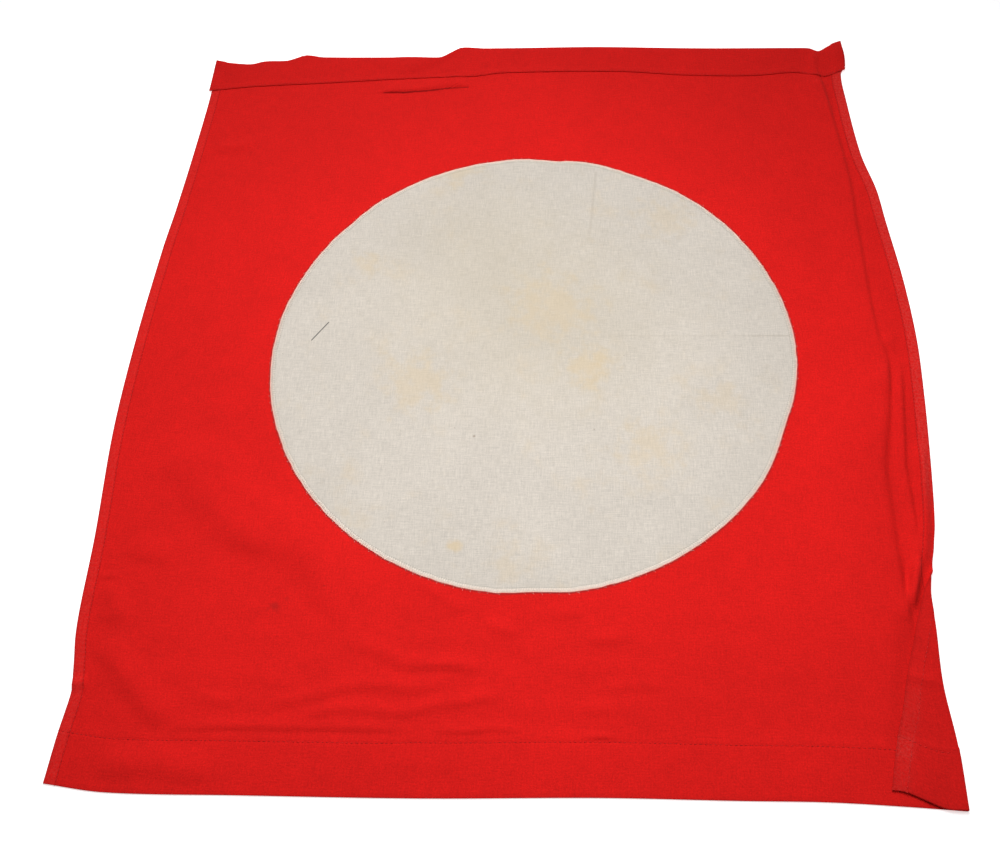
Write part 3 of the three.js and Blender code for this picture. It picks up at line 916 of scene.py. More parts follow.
def stain_group():
    """One irregular blotch on the cloth, round a centre, with a ragged edge."""
    nodes = Group("Stain", "ShaderNodeTree", {
        "Place": VECTOR, "Centre": VECTOR, "Radius": 0.02, "Raggedness": 1.0,
    })
    given = nodes.given
    offset = nodes.vector("MULTIPLY", nodes.vector("SUBTRACT", given["Place"], given["Centre"]), LEVEL)
    away = nodes.over(nodes.length(offset), given["Radius"])
    lumps = nodes.minus(nodes.noise(given["Place"], 55.0, 5.0, 0.65), 0.5)
    ragged = nodes.times(lumps, nodes.times(given["Raggedness"], 2.6))
    return nodes.finish({"Mask": nodes.ramp(nodes.plus(away, ragged), 1.0, 0.1)})


def speck_group():
    """Small scattered specks, a share of them left out."""
    nodes = Group("Specks", "ShaderNodeTree", {
        "Place": VECTOR, "Spacing": 0.02, "Size": 0.1, "Share": 0.3,
    })
    given = nodes.given
    cells = nodes.add("ShaderNodeTexVoronoi", {
        "Vector": given["Place"], "Scale": nodes.over(1.0, given["Spacing"]), "Randomness": 1.0,
    })
    pick, spread, _ = nodes.add("ShaderNodeSeparateColor", {0: cells.outputs["Color"]}).outputs
    size = nodes.times(given["Size"], nodes.plus(spread, 0.35))
    dot = nodes.ramp(nodes.over(cells.outputs["Distance"], size), 1.0, 0.4)
    kept = nodes.math("LESS_THAN", pick, given["Share"])
    return nodes.finish({"Mask": nodes.times(dot, kept)})


def mark_group():
    """A thin broken mark along a straight line between two places."""
    nodes = Group("Line mark", "ShaderNodeTree", {
        "Place": VECTOR, "From": VECTOR, "To": VECTOR, "Width": 0.001, "Broken": 0.5,
    })
    given = nodes.given
    offset, line = (
        nodes.vector("MULTIPLY", nodes.vector("SUBTRACT", given[name], given["From"]), LEVEL)
        for name in ("Place", "To")
    )
    dots = [nodes.vector("DOT_PRODUCT", a, line, output=1) for a in (offset, line)]
    nearest = nodes.scaled(line, nodes.math("DIVIDE", *dots, clamp=True))
    away = nodes.length(nodes.vector("SUBTRACT", offset, nearest))
    edge = nodes.ramp(nodes.over(away, given["Width"]), 1.0, 0.3)
    low = nodes.times(given["Broken"], 0.62)
    kept = nodes.ramp(nodes.noise(given["Place"], 260.0, 4.0, 0.7), low, nodes.plus(low, 0.12))
    return nodes.finish({"Mask": nodes.times(edge, kept)})


SHADER_GROUPS = {
    "Plain weave": weave_group, "Stain": stain_group, "Specks": speck_group, "Line mark": mark_group,
}


# ---- Materials ----


def new_material(name, roughness, sheen=0.0, sheen_tint=(1, 1, 1, 1), specular=0.25):
    """A material with one shader, whose even values are set on the shader itself."""
    material = bpy.data.materials.new(name)
    material.use_nodes = True
    shader = material.node_tree.nodes["Principled BSDF"]
    even = {
        "Roughness": roughness, "Sheen Weight": sheen, "Sheen Roughness": 0.5, "Sheen Tint": sheen_tint,
        "Specular IOR Level": specular,
    }
    for label, value in even.items():
        shader.inputs[label].default_value = value
    return material, Nodes(material.node_tree), shader


def finish_surface(nodes, shader, colour, height, depth):
    """Gives the shader its colour, and its relief as a height and how deep that is."""
    bump = nodes.add("ShaderNodeBump", {"Height": height, "Distance": depth, "Strength": 1.0})
    nodes.give(colour, shader.inputs["Base Color"])
    nodes.give(bump.outputs[0], shader.inputs["Normal"])


def in_place(x, y):
    """A place on the laid-out flag in the part's own frame, from its plan millimetres."""
    return (CENTRE.x + x * MM, CENTRE.y + y * MM, 0.0)


def stained(nodes, colour, place, spots, raggedness, dirt):
    """A colour with stains on it. Each spot is its place, radius and strength."""
    for x, y, radius, strength in spots:
        mask = nodes.group("Stain", {
            "Place": place, "Centre": in_place(x, y), "Radius": radius * MM, "Raggedness": raggedness,
        })[0]
        colour = nodes.tinted(colour, mask, strength, dirt)
    return colour


def specked(nodes, colour, place, specks, dirt):
    """A colour with specks on it. Each row is their spacing, size, share and strength."""
    for spacing, size, share, strength in specks:
        mask = nodes.group("Specks", {"Place": place, "Spacing": spacing, "Size": size, "Share": share})[0]
        colour = nodes.tinted(colour, mask, strength, dirt)
    return colour


def marked(nodes, colour, place, start, end, width, broken, strength, dirt):
    """A colour with one straight mark on it."""
    mask = nodes.group("Line mark", {
        "Place": place, "From": in_place(*start), "To": in_place(*end), "Width": width * MM,
        "Broken": broken,
    })[0]
    return nodes.tinted(colour, mask, strength, dirt)


def rim_distance(nodes, place):
    """How far places lie inside the disc's edge. A curve holds the edge's distance for each direction."""
    offset = nodes.vector("MULTIPLY", nodes.vector("SUBTRACT", place, in_place(0, 0)), LEVEL)
    x, y, _ = nodes.split(offset)
    turn = nodes.math("MULTIPLY_ADD", nodes.math("ARCTAN2", y, x), 1 / (2 * np.pi), 0.5)
    node = nodes.add("ShaderNodeFloatCurve", {"Value": turn})
    low, span = 270.0, 20.0
    points = node.mapping.curves[0].points
    for at in np.linspace(0, 1, 91):
        reach = float(disc_edge(np.array((at - 0.5) * 2 * np.pi)) - low) / span
        if 0 < at < 1:
            points.new(at, reach)
        else:
            points[0 if at == 0 else -1].location = (at, reach)
    node.mapping.update()
    reach = nodes.math("MULTIPLY_ADD", node.outputs[0], span * MM, low * MM)
    return nodes.minus(reach, nodes.length(offset))


# Painted shade along lines drawn into the cloth, each with metres from its middle: where it fades out, and
# where it is full.
SEAM_SHADE_SPREAD, RIM_SHADOW_SPREAD, HOLE_WIDTH = (0.0011, 0.0003), (0.0014, 0.0002), (0.0007, 0.0002)
# In millimetres: how far outside the disc the painted shadow ring lies, how far inside it the needle holes
# are, and how wide the painted shadow of the pinch under the sleeve is.
RIM_SHADOW_OUTSIDE, HOLE_LINE, PINCH_SHADOW_WIDTH = 1.1, 4.7, 1.3
# Bands along the disc's edge, as metres in from it: where each fades out, and where it is full.
SEWN_BAND, TINGED_LIT_BAND = (0.0044, 0.0036), (0.0016, 0.0004)
# Stains and spots, as (x, y, radius, strength), in millimetres on the laid-out flag.
RED_SPOTS = ((-236, -297, 7, 0.3), (-226, -290, 4, 0.2), (-243, -301, 3, 0.2))
DULL_PATCHES = ((-40, 70, 230, 0.17), (60, 30, 200, 0.12), (-60, 160, 140, 0.1))
YELLOW_BLOTCHES = (
    (-70, -232, 11, 0.6), (-95, 262, 30, 0.36), (150, 190, 42, 0.26), (120, -120, 38, 0.34),
    (-120, -40, 46, 0.34), (20, 60, 60, 0.34), (200, -60, 30, 0.26), (-15, -250, 26, 0.25),
    (-185, 120, 22, 0.34), (60, -20, 34, 0.42),
)
INK = (0.03, 0.03, 0.03, 1.0)
CREASE_GREY = (0.35, 0.29, 0.22, 1.0)
# Marks on the disc, as (from, to, width, broken, strength, colour): one of ink, and pressed creases.
DISC_MARKS = (
    ((-240, 12), (-224, 36), 0.9, 0.4, 0.9, INK),
    ((75, 20), (279, 22), 1.3, 0.25, 0.12, CREASE_GREY),
    ((236, 21), (279, 22), 1.3, 0.1, 0.22, CREASE_GREY),
    ((70, 258), (63, 165), 2.2, 0.3, 0.2, CREASE_GREY),
)


def red_cotton(sizes):
    """Bright red plain-weave cotton: uneven threads, slow changes of tone, soiled spots, rubbed edges,
    and painted shade along folded edges, seams, the pinch and round the disc.
    """
    material, nodes, shader = new_material("Red cotton", 0.9, 0.06, (1.0, 0.2, 0.15, 1.0), specular=0.12)
    flat, place = nodes.uv("cloth"), nodes.place()
    weave = nodes.group("Plain weave", {
        "Cloth": flat, "Thread pitch": sizes.thread_pitch, "Unevenness": 0.46,
    })
    broad = nodes.ramp(nodes.noise(place, 4.5, 3.0), 0.3, 0.7, 0.965, 1.035)
    cloudy = nodes.ramp(nodes.noise(place, 38.0, 4.0, 0.7), 0.3, 0.7, 0.97, 1.03)
    tone = nodes.times(nodes.times(broad, cloudy), weave["Tone"])
    colour = nodes.toned((*sizes.red, 1.0), tone)
    soil, shade_red = (0.10, 0.012, 0.010, 1.0), (0.20, 0.002, 0.002, 1.0)
    colour = stained(nodes, colour, place, RED_SPOTS, 1.2, soil)
    colour = specked(nodes, colour, place, ((0.045, 0.03, 0.25, 0.35),), soil)
    # The back is painted a little darker: partly its own duller tone, partly painted shade on the turned-over
    # side.
    # # Painted shade darkens the folded edges. Rubbed places are paler, in patches.
    back = nodes.attribute("reverse")
    colour = nodes.toned(colour, nodes.math("MULTIPLY_ADD", back, -0.09, 1.0))
    colour = nodes.toned(colour, nodes.math("MULTIPLY_ADD", nodes.attribute("edge"), -0.22, 1.0))
    patchy = nodes.ramp(nodes.noise(flat, 420.0, 3.0, 0.7), 0.36, 0.66)
    colour = nodes.tinted(colour, nodes.times(nodes.attribute("worn"), patchy), 0.1, (0.90, 0.26, 0.22, 1.0))
    # Painted shadow: a dark ring in the cloth just outside the disc, where the disc's edge and its zigzag
    # shade the cloth and the zigzag pulls it in.
    ring = nodes.near(rim_distance(nodes, place), -RIM_SHADOW_OUTSIDE * MM, *RIM_SHADOW_SPREAD)
    colour = nodes.tinted(colour, ring, 0.5, (0.20, 0.02, 0.018, 1.0))
    # Seams: painted shade in the narrow dent that the thread pulls into the cloth.
    off_side, off_end, _ = nodes.split(nodes.uv("hems"))
    side_seam_shade = nodes.near(off_side, SIDE_SEAM * MM, *SEAM_SHADE_SPREAD)
    side_seam_shade = nodes.times(side_seam_shade, nodes.math("MULTIPLY_ADD", back, -0.26, 0.34))
    end_seam_shade = nodes.times(nodes.near(off_end, BOTTOM_SEAM * MM, *SEAM_SHADE_SPREAD), 0.03)
    colour = nodes.mix(nodes.math("MAXIMUM", side_seam_shade, end_seam_shade), colour, shade_red)
    # The pinch under the sleeve is folded in so sharply that it is nearly a line; its shadow is painted on as
    # a dark line.
    for start, end, strength in PINCH_SHADOW_LINES:
        colour = marked(nodes, colour, place, start, end, PINCH_SHADOW_WIDTH, 0.0, strength, shade_red)
    finish_surface(nodes, shader, colour, weave["Height"], 0.00014)
    return material


def white_cotton(disc):
    """Aged white cotton: uneven threads, yellowing, brown specks, an ink mark, pressed creases,
    painted shade in the needle holes and a painted highlight on the rim.
    """
    material, nodes, shader = new_material("White cotton", 0.85, 0.1)
    place = nodes.place()
    along, inside, _ = nodes.split(nodes.uv("rim"))
    weave = nodes.group("Plain weave", {
        "Cloth": nodes.uv("cloth"), "Thread pitch": disc.thread_pitch, "Unevenness": 0.6, "Grain": 0.5,
    })
    clouds = nodes.ramp(nodes.noise(place, 9.0, 4.0, 0.6), 0.32, 0.68, 0.97, 1.03)
    colour = nodes.toned((*disc.white, 1.0), nodes.times(clouds, weave["Tone"]))
    yellow, dull = (0.60, 0.46, 0.27, 1.0), (0.42, 0.35, 0.22, 1.0)
    brown, hole_shade_grey = (0.20, 0.13, 0.08, 1.0), (0.24, 0.20, 0.16, 1.0)
    aged = nodes.ramp(nodes.noise(place, 16.0, 5.0, 0.7), 0.52, 0.78)
    colour = nodes.tinted(colour, aged, 0.35, yellow)
    colour = stained(nodes, colour, place, DULL_PATCHES, 0.3, dull)
    colour = stained(nodes, colour, place, YELLOW_BLOTCHES, 1.2, yellow)
    colour = specked(nodes, colour, place, ((0.016, 0.07, 0.16, 0.35), (0.045, 0.045, 0.3, 0.5)), brown)
    for mark in DISC_MARKS:
        colour = marked(nodes, colour, place, *mark)
    # The sewn band is paler, and tinged red at its outer edge, which is also painted lighter as a painted
    # # highlight against the shade of the rounded rim. Needle holes run along its inner side, darkened as
    # painted shade.
    colour = nodes.tinted(colour, nodes.ramp(inside, *SEWN_BAND), 0.35, (0.68, 0.56, 0.49, 1.0))
    colour = nodes.tinted(colour, nodes.ramp(inside, *TINGED_LIT_BAND), 0.6, (0.95, 0.46, 0.36, 1.0))
    turn = nodes.times(nodes.over(along, disc.zigzag_pitch), 2 * np.pi)
    beat = nodes.ramp(nodes.math("COSINE", turn), -0.1, 0.7)
    holes = nodes.times(beat, nodes.near(inside, HOLE_LINE * MM, *HOLE_WIDTH))
    colour = nodes.tinted(colour, holes, 0.55, hole_shade_grey)
    finish_surface(nodes, shader, colour, nodes.minus(weave["Height"], holes), 0.0001)
    return material


def thread(name, colour, stained_lit_colour):
    """Twisted cotton thread, stained by the red cloth where its outer turns go into it, and painted lighter
    there as a painted highlight against the shade at the disc's rim.
    """
    material, nodes, shader = new_material(name, 0.7, 0.1)
    place = nodes.place()
    tone = nodes.ramp(nodes.noise(place, 900.0, 2.0), 0.3, 0.7, 0.8, 1.15)
    outer = nodes.math("POWER", nodes.attribute("outer"), 2.0)
    colour = nodes.toned(nodes.mix(outer, colour, stained_lit_colour), tone)
    finish_surface(nodes, shader, colour, nodes.noise(place, 2600.0, 1.0), 0.00006)
    return material


# ---- Seams, made by geometry nodes along a path ----


def end_seam(nodes, geometry, output):
    """Ends a tree: instances made real, shaded smooth, in the thread's material."""
    real = nodes.add("GeometryNodeRealizeInstances", {"Geometry": geometry}).outputs[0]
    smooth = nodes.add("GeometryNodeSetShadeSmooth", {"Geometry": real}).outputs[0]
    inputs = {"Geometry": smooth, "Material": nodes.given["Thread"]}
    return nodes.finish({output: nodes.add("GeometryNodeSetMaterial", inputs).outputs[0]}, GEOMETRY)


def path_curve(nodes):
    return nodes.add("GeometryNodeMeshToCurve", {"Mesh": nodes.given["Path"]}).outputs[0]


def spaced(nodes, spacing):
    """Points along the path at an even spacing."""
    inputs = {"Curve": path_curve(nodes), "Length": spacing}
    return nodes.add("GeometryNodeResampleCurve", inputs, mode="LENGTH").outputs[0]


def moved(nodes, geometry, offset):
    return nodes.add("GeometryNodeSetPosition", {"Geometry": geometry, "Offset": offset}).outputs[0]


def stitch_tree():
    """Short machine stitches, one after another along a seam."""
    nodes = Group("Machine stitches", "GeometryNodeTree", {
        "Path": GEOMETRY, "Stitch length": 0.0018, "Gap": 0.0005, "Thread thickness": 0.0004,
        "Unevenness": 0.12, "Seed": 1, "Thread": MATERIAL,
    })
    given = nodes.given
    length, thickness, uneven = given["Stitch length"], given["Thread thickness"], given["Unevenness"]
    even = spaced(nodes, nodes.plus(length, given["Gap"]))
    lift = nodes.scaled(nodes.named_vector("out"), nodes.times(thickness, 0.3))
    ball = nodes.add("GeometryNodeMeshUVSphere", {"Segments": 6, "Rings": 5, "Radius": 0.5}).outputs[0]
    shape = nodes.joined(length, thickness, thickness)
    stitch = nodes.add("GeometryNodeTransform", {"Geometry": ball, "Scale": shape}).outputs[0]
    swing = nodes.random("FLOAT_VECTOR", nodes.times(uneven, -1.0), uneven, given["Seed"])
    aim = nodes.vector("ADD", nodes.add("GeometryNodeInputTangent").outputs[0], swing)
    turn = nodes.add("FunctionNodeAlignRotationToVector", {"Vector": aim}, axis="X").outputs[0]
    inputs = {"Points": moved(nodes, even, lift), "Instance": stitch, "Rotation": turn}
    return end_seam(nodes, nodes.add("GeometryNodeInstanceOnPoints", inputs).outputs[0], "Stitches")


def zigzag_tree():
    """One thread that runs to and fro between an edge and the line of needle holes inside it."""
    nodes = Group("Zigzag seam", "GeometryNodeTree", {
        "Path": GEOMETRY, "Teeth spacing": 0.0018, "Thread thickness": 0.0004, "Rise": 0.0003,
        "Unevenness": 0.0002, "Seed": 1, "Thread": MATERIAL,
    })
    given = nodes.given
    curve, uneven = path_curve(nodes), given["Unevenness"]
    length = nodes.add("GeometryNodeCurveLength", {"Curve": curve}).outputs[0]
    teeth = nodes.math("ROUND", nodes.over(length, given["Teeth spacing"]))
    inputs = {"Curve": curve, "Count": nodes.times(teeth, 4.0)}
    even = nodes.add("GeometryNodeResampleCurve", inputs, mode="COUNT").outputs[0]
    index = nodes.add("GeometryNodeInputIndex").outputs[0]
    phase = nodes.math("PINGPONG", nodes.times(index, 0.5), 1.0)
    ends = nodes.math("ABSOLUTE", nodes.math("MULTIPLY_ADD", phase, 2.0, -1.0))
    step = nodes.scaled(nodes.named_vector("across"), phase)
    hop = nodes.scaled(nodes.named_vector("out"), nodes.times(nodes.minus(1.0, ends), given["Rise"]))
    stray = nodes.random("FLOAT_VECTOR", nodes.times(uneven, -1.0), uneven, given["Seed"])
    sideways = nodes.vector("MULTIPLY", stray, (1.0, 1.0, 0.2))
    offset = nodes.vector("ADD", nodes.vector("ADD", step, hop), sideways)
    outer = nodes.add(
        "GeometryNodeStoreNamedAttribute", {"Geometry": moved(nodes, even, offset), "Name": "outer"},
        data_type="FLOAT", domain="POINT",
    )
    value = next(s for s in outer.inputs if s.name == "Value" and s.type == "VALUE")
    nodes.give(nodes.minus(1.0, phase), value)
    return end_seam(nodes, nodes.tube(outer.outputs[0], given["Thread thickness"], 5, False), "Seam")


def fray_tree():
    """Loose fibres that stand out from a raw edge and lie over in all directions."""
    nodes = Group("Frayed fibres", "GeometryNodeTree", {
        "Path": GEOMETRY, "Spacing": 0.01, "Fibre length": 0.004, "Fibre thickness": 0.00012, "Seed": 1,
        "Thread": MATERIAL,
    })
    given = nodes.given
    length = given["Fibre length"]
    even = spaced(nodes, given["Spacing"])
    bend = nodes.times(length, 0.35)
    arc = nodes.add("GeometryNodeCurveQuadraticBezier", {
        "Resolution": 5, "Start": (0.0, 0.0, 0.0),
        "Middle": nodes.joined(nodes.times(length, 0.6), bend, nodes.times(bend, 0.25)),
        "End": nodes.joined(length, 0.0, 0.0),
    })
    fibre = nodes.tube(arc.outputs[0], given["Fibre thickness"], 3, True)
    spun = nodes.random("FLOAT", -1.3, 1.3, given["Seed"])
    sized = nodes.random("FLOAT", 0.3, 1.3, given["Seed"])
    outwards = {"Vector": nodes.named_vector("out")}
    aim = nodes.add("FunctionNodeAlignRotationToVector", outwards, axis="X").outputs[0]
    inputs = {"Axis": (0.0, 0.0, 1.0), "Angle": spun}
    around = nodes.add("FunctionNodeAxisAngleToRotation", inputs).outputs[0]
    turn = nodes.add("FunctionNodeRotateRotation", {0: aim, 1: around}, rotation_space="GLOBAL").outputs[0]
    inputs = {"Points": even, "Instance": fibre, "Rotation": turn, "Scale": sized}
    return end_seam(nodes, nodes.add("GeometryNodeInstanceOnPoints", inputs).outputs[0], "Fibres")


SEAM_TREES = {"Machine stitches": stitch_tree, "Zigzag seam": zigzag_tree, "Frayed fibres": fray_tree}


def sewn(path, tree_name, values):
    """Runs a seam's tree along a path, and leaves the object with the plain mesh that it makes."""
    tree = bpy.data.node_groups.get(tree_name) or SEAM_TREES[tree_name]()
    modifier = path.modifiers.new(tree_name, "NODES")
    modifier.node_group = tree
    sockets = {item.name: item.identifier for item in tree.interface.items_tree if item.in_out == "INPUT"}
    for name, value in values.items():
        modifier[sockets[name]] = value
    ready = path.evaluated_get(bpy.context.evaluated_depsgraph_get())
    mesh = bpy.data.meshes.new_from_object(ready)
    path.modifiers.clear()
    path.data = mesh
    if not mesh.polygons:
        raise RuntimeError(f"{path.name}: the tree {tree_name} made nothing")
    return path


# ---- What a user may change ----


class FlagCloth(bpy.types.PropertyGroup):
    """The red cloth"""

    thickness: FloatProperty(name="Thickness", description="Of one layer", default=0.0005, unit="LENGTH")
    hem_build_up: FloatProperty(
        name="Hem build-up", description="How much thicker a hem is", default=0.00045, unit="LENGTH"
    )
    turn_radius: FloatProperty(
        name="Turn radius", description="Where the side turns over", default=0.0016, unit="LENGTH"
    )
    sleeve_radius: FloatProperty(
        name="Sleeve radius", description="Where the pole sleeve turns over", default=0.00045, unit="LENGTH"
    )
    wrinkles: FloatProperty(name="Wrinkles", description="How rumpled the cloth lies", default=1.0)
    thread_pitch: FloatProperty(
        name="Thread pitch", description="Between threads of the weave", default=0.00055, unit="LENGTH"
    )
    red: FloatVectorProperty(
        name="Red", description="The dyed cotton", subtype="COLOR", default=(0.63, 0.0078, 0.0064)
    )


class FlagDisc(bpy.types.PropertyGroup):
    """The white disc"""

    thickness: FloatProperty(name="Thickness", description="Of the cloth", default=0.0004, unit="LENGTH")
    thread_pitch: FloatProperty(
        name="Thread pitch", description="Between threads of the weave", default=0.0005, unit="LENGTH"
    )
    white: FloatVectorProperty(
        name="White", description="The aged cotton", subtype="COLOR", default=(0.56, 0.51, 0.45)
    )
    zigzag_pitch: FloatProperty(
        name="Zigzag pitch", description="Between teeth of the seam", default=0.0024, unit="LENGTH"
    )
    zigzag_thread: FloatProperty(
        name="Zigzag thread", description="Thickness of its thread", default=0.0006, unit="LENGTH"
    )


class FlagSeams(bpy.types.PropertyGroup):
    """The hems' seams"""

    stitch_length: FloatProperty(
        name="Stitch length", description="Of one stitch that shows", default=0.0028, unit="LENGTH"
    )
    gap: FloatProperty(name="Gap", description="Between stitches", default=0.0016, unit="LENGTH")
    thread: FloatProperty(
        name="Thread", description="Thickness of the thread", default=0.0005, unit="LENGTH"
    )
    seed: IntProperty(name="Seed", description="For the small differences between stitches", default=5)


# ---- Operators: one for each piece or group of like pieces ----

# The front stitches' thread is the same red thread as on the turned-over side, painted darker as painted
# shade round its needle holes.
SHADED_RED_THREAD, PALER_THREAD = (0.53, 0.007, 0.006, 1.0), (0.60, 0.012, 0.010, 1.0)
# At its outer turns the zigzag's cream thread is stained red, and painted lighter as a painted highlight.
CREAM_THREAD, STAINED_LIT_THREAD = (0.82, 0.75, 0.65, 1.0), (1.0, 0.62, 0.54, 1.0)
# Seams start this many rows or columns in from the cloth's edges.
SEAM_INSET = 3
RIM_POINTS = 1600
# How far outside the disc's edge its zigzag reaches, and how high it lies there.
ZIGZAG_OVERHANG, ZIGZAG_LIFT = 0.5, 0.1


class FLAG_OT_cloth(bpy.types.Operator):
    """Make the red cloth with its pole sleeve and turned-over side"""

    bl_idname = "flag.cloth"
    bl_label = "Make the cloth"

    def execute(self, context):
        sizes = context.scene.flag_cloth
        sheet = cloth_sheet(sizes)
        # The edge attribute carries painted shade along the folded edges.
        edge = edge_shade_mask(sheet)
        cloth = sheet_object("cloth", sheet, [("cloth", sheet.flat), ("hems", hem_map(sheet))], (
            ("worn", *wear_masks(sheet)),
            ("edge", edge, edge),
            ("reverse", np.zeros(sheet.up.shape), np.where(sheet.sleeve_left < SLEEVE_DEPTH, 0.5, 1.0)),
        ))
        cloth.data.materials.append(red_cotton(sizes))
        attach(cloth, "root")
        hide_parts("flag_cloth")
        return {"FINISHED"}


class FLAG_OT_disc(bpy.types.Operator):
    """Make the plain white disc"""

    bl_idname = "flag.disc"
    bl_label = "Make the disc"

    def execute(self, context):
        scene = context.scene
        sheet = disc_sheet(scene.flag_cloth, scene.flag_disc)
        x, y = sheet.flat[..., 0], sheet.flat[..., 1]
        around = np.dstack([DISC_RADIUS * np.arctan2(y, x), inside_disc(x, y)])
        disc = sheet_object("sewn_disc", sheet, [("cloth", sheet.flat), ("rim", around)])
        disc.data.materials.append(white_cotton(scene.flag_disc))
        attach(disc, "root")
        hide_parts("disc")
        return {"FINISHED"}


class FLAG_OT_hem_seams(bpy.types.Operator):
    """Sew the hems and the pole sleeve with red thread"""

    bl_idname = "flag.hem_seams"
    bl_label = "Sew the hems"

    def execute(self, context):
        scene = context.scene
        seams = scene.flag_seams
        sheet = cloth_sheet(scene.flag_cloth)
        y = sheet.middle[:, sheet.main_columns - 1, 1]
        below_sleeve = [j for j in range(SEAM_INSET, sheet.main_rows) if y[j] < SIDE_STITCHES_TOP]
        left_side = [j for j in below_sleeve if y[j] < LEFT_STITCHES_TOP]
        flat_side = [j for j in below_sleeve if y[j] > FLAT_STITCHES_BOTTOM]
        turned_side = [j for j in below_sleeve if y[j] < TURNED_STITCHES_TOP]
        main = range(SEAM_INSET, sheet.main_columns)
        sleeve = range(SEAM_INSET, sheet.middle.shape[1] - SEAM_INSET)
        strip = range(sheet.main_columns + STRIP_TURN_STEPS + 1, sheet.middle.shape[1] - 2)
        side_hem = sheet.free - side_hem_width(y)[:, None]
        on_front = [
            sheet.line(sheet.across, SIDE_SEAM, True, left_side, 1),
            sheet.line(side_hem, 0, True, flat_side, 1),
            sheet.line(sheet.up, BOTTOM_SEAM, False, main, 1),
            sheet.line(sheet.sleeve_left, SLEEVE_SEAM, False, sleeve, -1),
        ]
        on_back = [
            sheet.line(side_hem, 0, True, turned_side, -1),
            sheet.line(sheet.up, BOTTOM_SEAM, False, strip, -1),
        ]
        for name, lines, colour in (
            ("hem_stitches", on_front, SHADED_RED_THREAD), ("turned_hem_stitches", on_back, PALER_THREAD),
        ):
            stitches = sewn(path_object(name, lines), "Machine stitches", {
                "Stitch length": seams.stitch_length,
                "Gap": seams.gap,
                "Thread thickness": seams.thread,
                "Seed": seams.seed,
                "Thread": thread(name.replace("_", " ").capitalize(), colour, colour),
            })
            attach(stitches, "root")
        return {"FINISHED"}


def rim_line(cloth, disc):
    """The disc's edge as a closed line: places, way out of the cloth and the step in to the inner line."""
    angle = np.linspace(0, 2 * np.pi, RIM_POINTS, endpoint=False)
    outwards = np.array([np.cos(angle), np.sin(angle)])
    reach = disc_edge(angle)
    x, y = (reach + ZIGZAG_OVERHANG) * outwards
    edge = np.column_stack([x, y, cloth_top(x, y, cloth) + ZIGZAG_LIFT])
    x, y = (reach - SEW_WIDTH) * outwards
    needle = np.column_stack([x, y, disc_top(x, y, cloth, disc)])
    upwards = np.tile([0.0, 0.0, 1.0], (RIM_POINTS, 1))
    return np.stack([edge, upwards, needle - edge], axis=1)


class FLAG_OT_disc_seam(bpy.types.Operator):
    """Sew the disc's raw edge down with a dense zigzag, with a few fibres frayed out of it"""

    bl_idname = "flag.disc_seam"
    bl_label = "Sew the disc"

    def execute(self, context):
        scene = context.scene
        cloth, disc = scene.flag_cloth, scene.flag_disc
        cream = thread("Cream thread", CREAM_THREAD, STAINED_LIT_THREAD)
        line = rim_line(cloth, disc)
        zigzag = sewn(path_object("disc_zigzag", [line], closed=True), "Zigzag seam", {
            "Teeth spacing": disc.zigzag_pitch,
            "Thread thickness": disc.zigzag_thread,
            "Rise": 0.0005,
            "Unevenness": 0.00022,
            "Seed": 3,
            "Thread": cream,
        })
        outwards = line.copy()
        outwards[:, 1] = -line[:, 2] / np.linalg.norm(line[:, 2], axis=1, keepdims=True) * [1, 1, 0]
        fibres = sewn(path_object("disc_fibres", [outwards[:, :2]], closed=True), "Frayed fibres", {
            "Spacing": 0.0085,
            "Fibre length": 0.0024,
            "Fibre thickness": 0.00016,
            "Seed": 8,
            "Thread": cream,
        })
        for piece in (zigzag, fibres):
            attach(piece, "root")
        return {"FINISHED"}


# ---- The stage ----

WHITE = (1.0, 1.0, 1.0, 1.0)
FLOOR_REACH, FLOOR_DROP, FLOOR_GLOW = 4.0, 0.0004, 0.55
SKY_STRENGTH = 0.22
# Soft square lights, as (name, place, aim, size, power, spread in degrees).
LIGHTS = (
    ("key", (-0.24, 1.04, 1.34), (-0.04, -0.69, 0.0), 0.7, 7.75, 93),
    ("overhead", (0.19, 0.0, 1.0), (-0.04, -0.24, 0.0), 0.55, 3.0, 125),
)
# The camera's place in the flag's own plan, in millimetres, its angles in degrees and its lens.
CAMERA_PLACE = (39.0, -702.9, 1009.0)
PITCH_DOWN, YAW, ROLL = 58.777, -6.468, -4.897
LENS, SENSOR_WIDTH = 41.10, 36


class FLAG_OT_stage(bpy.types.Operator):
    """Set the pale floor, the soft lights and the camera"""

    bl_idname = "flag.stage"
    bl_label = "Set the stage"

    def execute(self, context):
        scene = context.scene
        mesh = bpy.data.meshes.new("floor")
        corners = ((-1, -1), (1, -1), (1, 1), (-1, 1))
        points = [(x * FLOOR_REACH, y * FLOOR_REACH, -FLOOR_DROP) for x, y in corners]
        mesh.from_pydata(points, [], [(0, 1, 2, 3)])
        floor = new_object("floor", mesh)
        material, _, shader = new_material("Pale floor", 0.9)
        shader.inputs["Base Color"].default_value = (0.93, 0.93, 0.93, 1.0)
        shader.inputs["Emission Color"].default_value = WHITE
        shader.inputs["Emission Strength"].default_value = FLOOR_GLOW
        mesh.materials.append(material)

        world = bpy.data.worlds.new("Studio")
        scene.world = world
        world.use_nodes = True
        sky = world.node_tree.nodes["Background"]
        sky.inputs["Color"].default_value = WHITE
        sky.inputs["Strength"].default_value = SKY_STRENGTH
        for light in LIGHTS:
            add_light(*light)
        scene.camera = add_camera()
        scene.view_settings.view_transform = "Standard"
        return {"FINISHED"}


def add_light(name, place, aim, size, power, spread):
    """A square soft light that faces a place on the flag, and is dimmer away from it."""
    data = bpy.data.lights.new(name, "AREA")
    data.size = size
    data.energy = power
    data.spread = np.radians(spread)
    light = new_object(name, data)
    light.location = place
    light.rotation_euler = (Vector(aim) - Vector(place)).to_track_quat("-Z", "Y").to_euler()


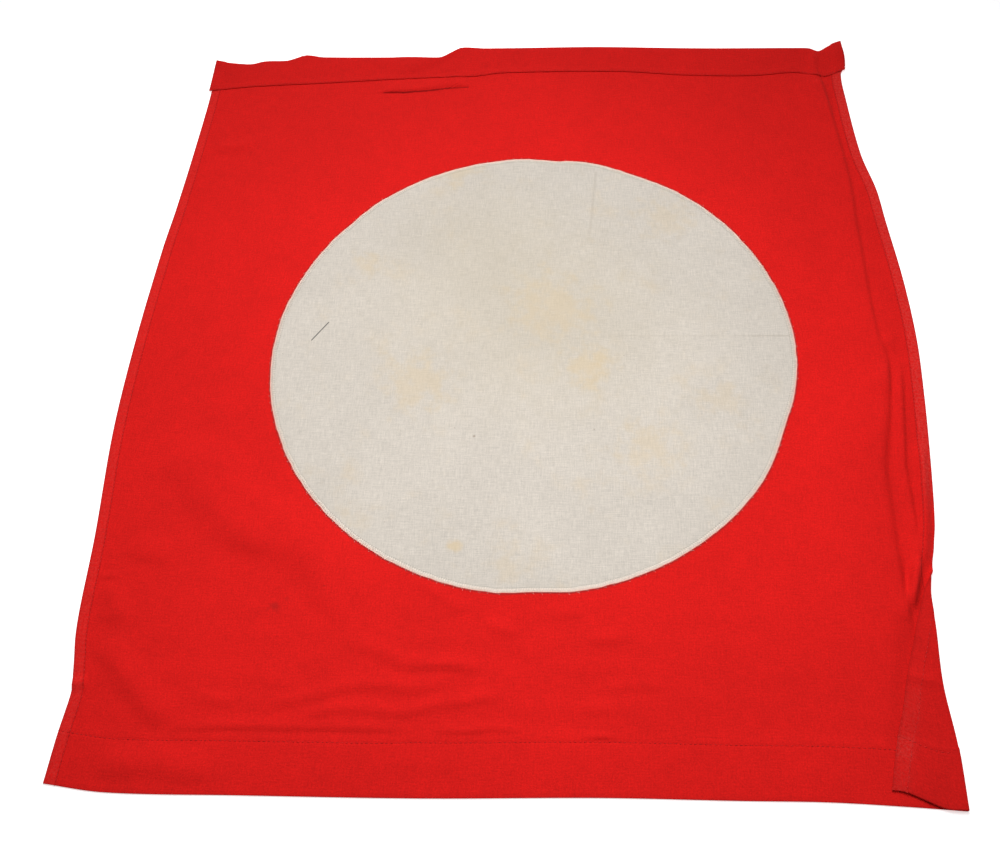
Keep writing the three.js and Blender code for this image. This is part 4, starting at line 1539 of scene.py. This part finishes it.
def add_camera():
    """The camera, above the near edge of the flag and looking down at it."""
    data = bpy.data.cameras.new("camera")
    data.lens = LENS
    data.sensor_width = SENSOR_WIDTH
    camera = new_object("camera", data)
    pitch, yaw, roll = np.radians([PITCH_DOWN, YAW, ROLL])
    forward = Vector((np.sin(yaw) * np.cos(pitch), np.cos(yaw) * np.cos(pitch), -np.sin(pitch)))
    level = Vector((np.cos(yaw), -np.sin(yaw), 0.0))
    upward = level.cross(forward)
    right = np.cos(roll) * level + np.sin(roll) * upward
    top = -np.sin(roll) * level + np.cos(roll) * upward
    turn = Matrix((right, top, -forward)).transposed().to_4x4()
    camera.matrix_world = Matrix.Translation(to_metres(CAMERA_PLACE)) @ turn
    return camera


class FLAG_PT_panel(bpy.types.Panel):
    """The steps that build the flag, in order"""

    bl_idname = "FLAG_PT_panel"
    bl_label = "Worn cotton flag"
    bl_space_type = "VIEW_3D"
    bl_region_type = "UI"
    bl_category = "Flag"

    def draw(self, context):
        for operator in OPERATORS:
            self.layout.operator(operator.bl_idname)


OPERATORS = (FLAG_OT_cloth, FLAG_OT_disc, FLAG_OT_hem_seams, FLAG_OT_disc_seam, FLAG_OT_stage)
SETTINGS = {"flag_cloth": FlagCloth, "flag_disc": FlagDisc, "flag_seams": FlagSeams}


def register():
    for group in SETTINGS.values():
        bpy.utils.register_class(group)
    for name, group in SETTINGS.items():
        setattr(bpy.types.Scene, name, PointerProperty(type=group))
    for operator in OPERATORS:
        bpy.utils.register_class(operator)
    bpy.utils.register_class(FLAG_PT_panel)


def unregister():
    bpy.utils.unregister_class(FLAG_PT_panel)
    for operator in reversed(OPERATORS):
        bpy.utils.unregister_class(operator)
    for name, group in SETTINGS.items():
        delattr(bpy.types.Scene, name)
        bpy.utils.unregister_class(group)


def main():
    register()
    bpy.ops.flag.cloth()
    bpy.ops.flag.disc()
    bpy.ops.flag.hem_seams()
    bpy.ops.flag.disc_seam()
    bpy.ops.flag.stage()
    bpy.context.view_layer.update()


if __name__ == "__main__":
    main()
